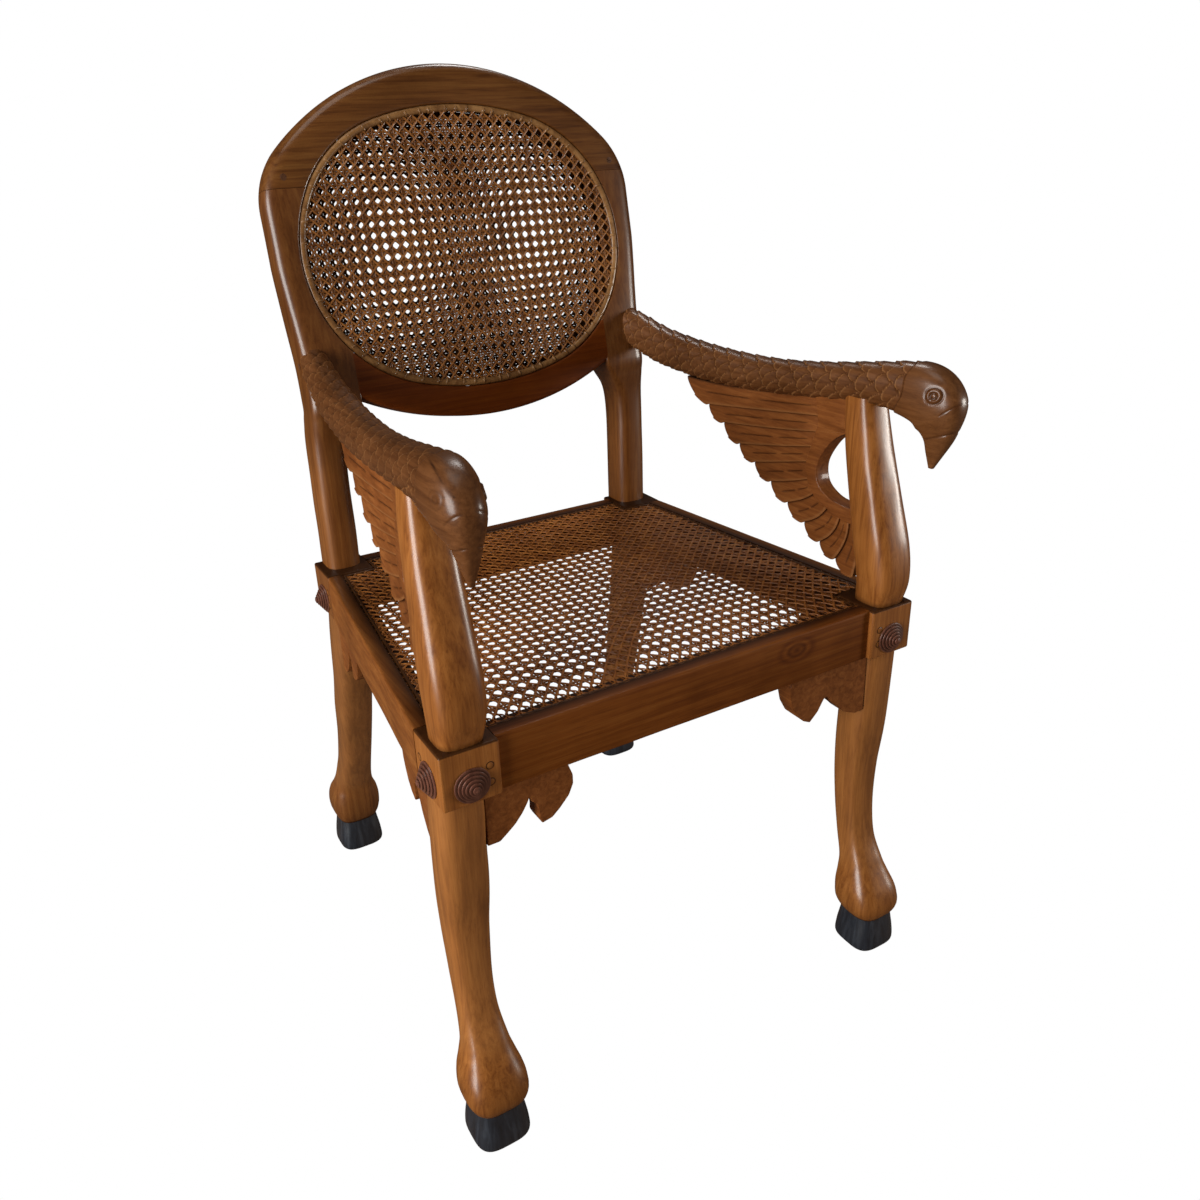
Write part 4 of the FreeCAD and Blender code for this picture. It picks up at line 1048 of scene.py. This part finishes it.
def addBinder(bm, centre, place, wide, thick, dark=0.0):
    # Strip along a closed line of points, nowhere lighter than the given darkness, which is painted shade
    count = len(centre)
    rings = []
    for k, point in enumerate(centre):
        run = (Vector(centre[(k + 1) % count]) - Vector(centre[k - 1])).normalized()
        across = Vector((-run.y, run.x))
        ring = []
        for c, h, _ in binder["section"]:
            spot = Vector(point) + across * c * wide
            ring.append(place(spot.x, spot.y, h * thick))
        rings.append(ring)
    marks = [max(mark, dark) for _, _, mark in binder["section"]]
    skin(bm, rings, loop=True, marks=[marks] * count)


def addTie(bm, angle, place):
    # A short strand that arches over the strip
    far, near = ovalReach(angle, ties["outer"]), ovalReach(angle, ties["inner"])

    def arch(point):
        share = (2 * point.length - far - near) / (far - near)
        return binder["thick"] * ties["high"] * (1 - abs(share) ** 3)

    way = Vector((cos(angle), sin(angle)))
    addStrand(bm, Vector((0, 0)), way, (near, far), ties["wide"], arch, place, ties["step"])


for layer, panel in backPanels.items():
    bm = bmesh.new()
    place = onPanel(panel, binder["lift"])
    addBinder(bm, ovalLine(binder["inset"], binder["stations"]), place, binder["wide"], binder["thick"])
    for k in range(ties["count"]):
        drift = ties["drift"] * sin(k * ties["driftTurn"])
        addTie(bm, 2 * pi * (k + drift) / ties["count"], place)
    piece(bm, "backBinder" + layer.title(), ["back_binder_" + layer], "binderTan", sharp=60)

edge = []
for k, corner in enumerate(seatOutline):
    a, b = Vector(corner), Vector(seatOutline[(k + 1) % len(seatOutline)])
    count = max(int((b - a).length / seatBinder["step"]), 2)
    edge += [tuple(a.lerp(b, step / count) * seatBinder["shrink"]) for step in range(count)]
bm = bmesh.new()
addBinder(bm, edge, lambda x, y, up: atSeat(x, y, cane["seatTop"] + seatBinder["lift"] + up),
          seatBinder["wide"], seatBinder["thick"], seatBinder["dark"])
piece(bm, "seatBinder", ["seat_binder"], "caneGold", sharp=60)
print("binders made")

pegBrown = bpy.data.materials.new("pegBrown")
pegBrown.use_nodes = True
shader = pegBrown.node_tree.nodes["Principled BSDF"]
shader.inputs["Base Color"].default_value = (0.1, 0.035, 0.011, 1)
shader.inputs["Roughness"].default_value = 0.5
for node in ("crest_pegs", "arm_pegs", "wing_dowels", "bracket_dowels", "hoof_dowels"):
    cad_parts[node].data.materials.clear()
    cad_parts[node].data.materials.append(pegBrown)


# Floor, light and camera, in metres
def whiteToCamera(tree, white, other, output):
    # Plain white to the camera, and the other shader to every other ray
    path = addNode(tree, "ShaderNodeLightPath")
    mix = addNode(tree, "ShaderNodeMixShader")
    tree.links.new(path.outputs["Is Camera Ray"], mix.inputs["Fac"])
    tree.links.new(other.outputs[0], mix.inputs[1])
    tree.links.new(white.outputs[0], mix.inputs[2])
    tree.links.new(mix.outputs[0], tree.nodes[output].inputs["Surface"])


stage = dict(white=(1, 1, 1, 1), floor=(0.16, 0.11, 0.08, 1), floorHalf=6, floorDrop=0.001,
             ambient=(0.85, 0.92, 1, 1), ambientStrength=0.022)
floorMaterial = bpy.data.materials.new("floorWhite")
floorMaterial.use_nodes = True
tree = floorMaterial.node_tree
white = addNode(tree, "ShaderNodeEmission", inputs={"Color": stage["white"], "Strength": 1})
pale = addNode(tree, "ShaderNodeBsdfDiffuse", inputs={"Color": stage["floor"]})
whiteToCamera(tree, white, pale, "Material Output")
bm = bmesh.new()
bmesh.ops.create_grid(bm, x_segments=1, y_segments=1, size=stage["floorHalf"])
mesh = bpy.data.meshes.new("floor")
bm.to_mesh(mesh)
bm.free()
mesh.materials.append(floorMaterial)
floor = bpy.data.objects.new("floor", mesh)
floor.location.z = -stage["floorDrop"]
scene.collection.objects.link(floor)

world = bpy.data.worlds.new("studio")
scene.world = world
world.use_nodes = True
tree = world.node_tree
white = tree.nodes["Background"]
white.inputs["Color"].default_value = stage["white"]
ambient = addNode(tree, "ShaderNodeBackground", inputs={"Color": stage["ambient"],
                                                        "Strength": stage["ambientStrength"]})
whiteToCamera(tree, white, ambient, "World Output")

# Lights hold place, aim, size, power and colour
lights = dict(window=((-3.4, -0.8, 1.15), (0, 0, 0.5), (2, 2.4), 176, (1, 0.99, 0.97)),
              frontBox=((2.9, -1.9, 0.8), (0, 0, 0.4), (0.8, 0.8), 54, (1, 0.95, 0.88)),
              rimBox=((1, 1.2, 2.8), (0, 0, 0.6), (0.6, 0.6), 17, (1, 0.97, 0.94)),
              ceiling=((-0.3, -0.3, 2.9), (0, 0, 0), (1.2, 1.2), 8, (1, 0.96, 0.9)))
for name, (place, aim, extent, power, colour) in lights.items():
    lamp = bpy.data.lights.new(name, "AREA")
    lamp.shape = "RECTANGLE"
    lamp.size, lamp.size_y = extent
    lamp.energy = power
    lamp.color = colour
    made = bpy.data.objects.new(name, lamp)
    made.location = place
    made.rotation_mode = "QUATERNION"
    made.rotation_quaternion = (Vector(aim) - Vector(place)).to_track_quat("-Z", "Y")
    scene.collection.objects.link(made)

# The camera's place is in the seat's frame, and its angles are degrees
lens = dict(place=(-494.04, -888.28, 887.42), pan=30.0153, tilt=-24.4386, roll=-1.9129, length=30.757,
            sensor=36, shift=(0.0044, -0.0083), clipStart=0.05)
camera = bpy.data.objects.new("camera", bpy.data.cameras.new("camera"))
scene.collection.objects.link(camera)
pan = Matrix.Rotation(radians(-lens["pan"]), 4, "Z")
tilt = Matrix.Rotation(radians(90 + lens["tilt"]), 4, "X")
roll = Matrix.Rotation(radians(lens["roll"]), 4, "Z")
camera.matrix_world = Matrix.Translation(atSeat(*lens["place"])) @ pan @ tilt @ roll
camera.data.sensor_width = lens["sensor"]
camera.data.lens = lens["length"]
camera.data.shift_x, camera.data.shift_y = lens["shift"]
camera.data.clip_start = lens["clipStart"]
scene.camera = camera
scene.view_settings.view_transform = "Standard"
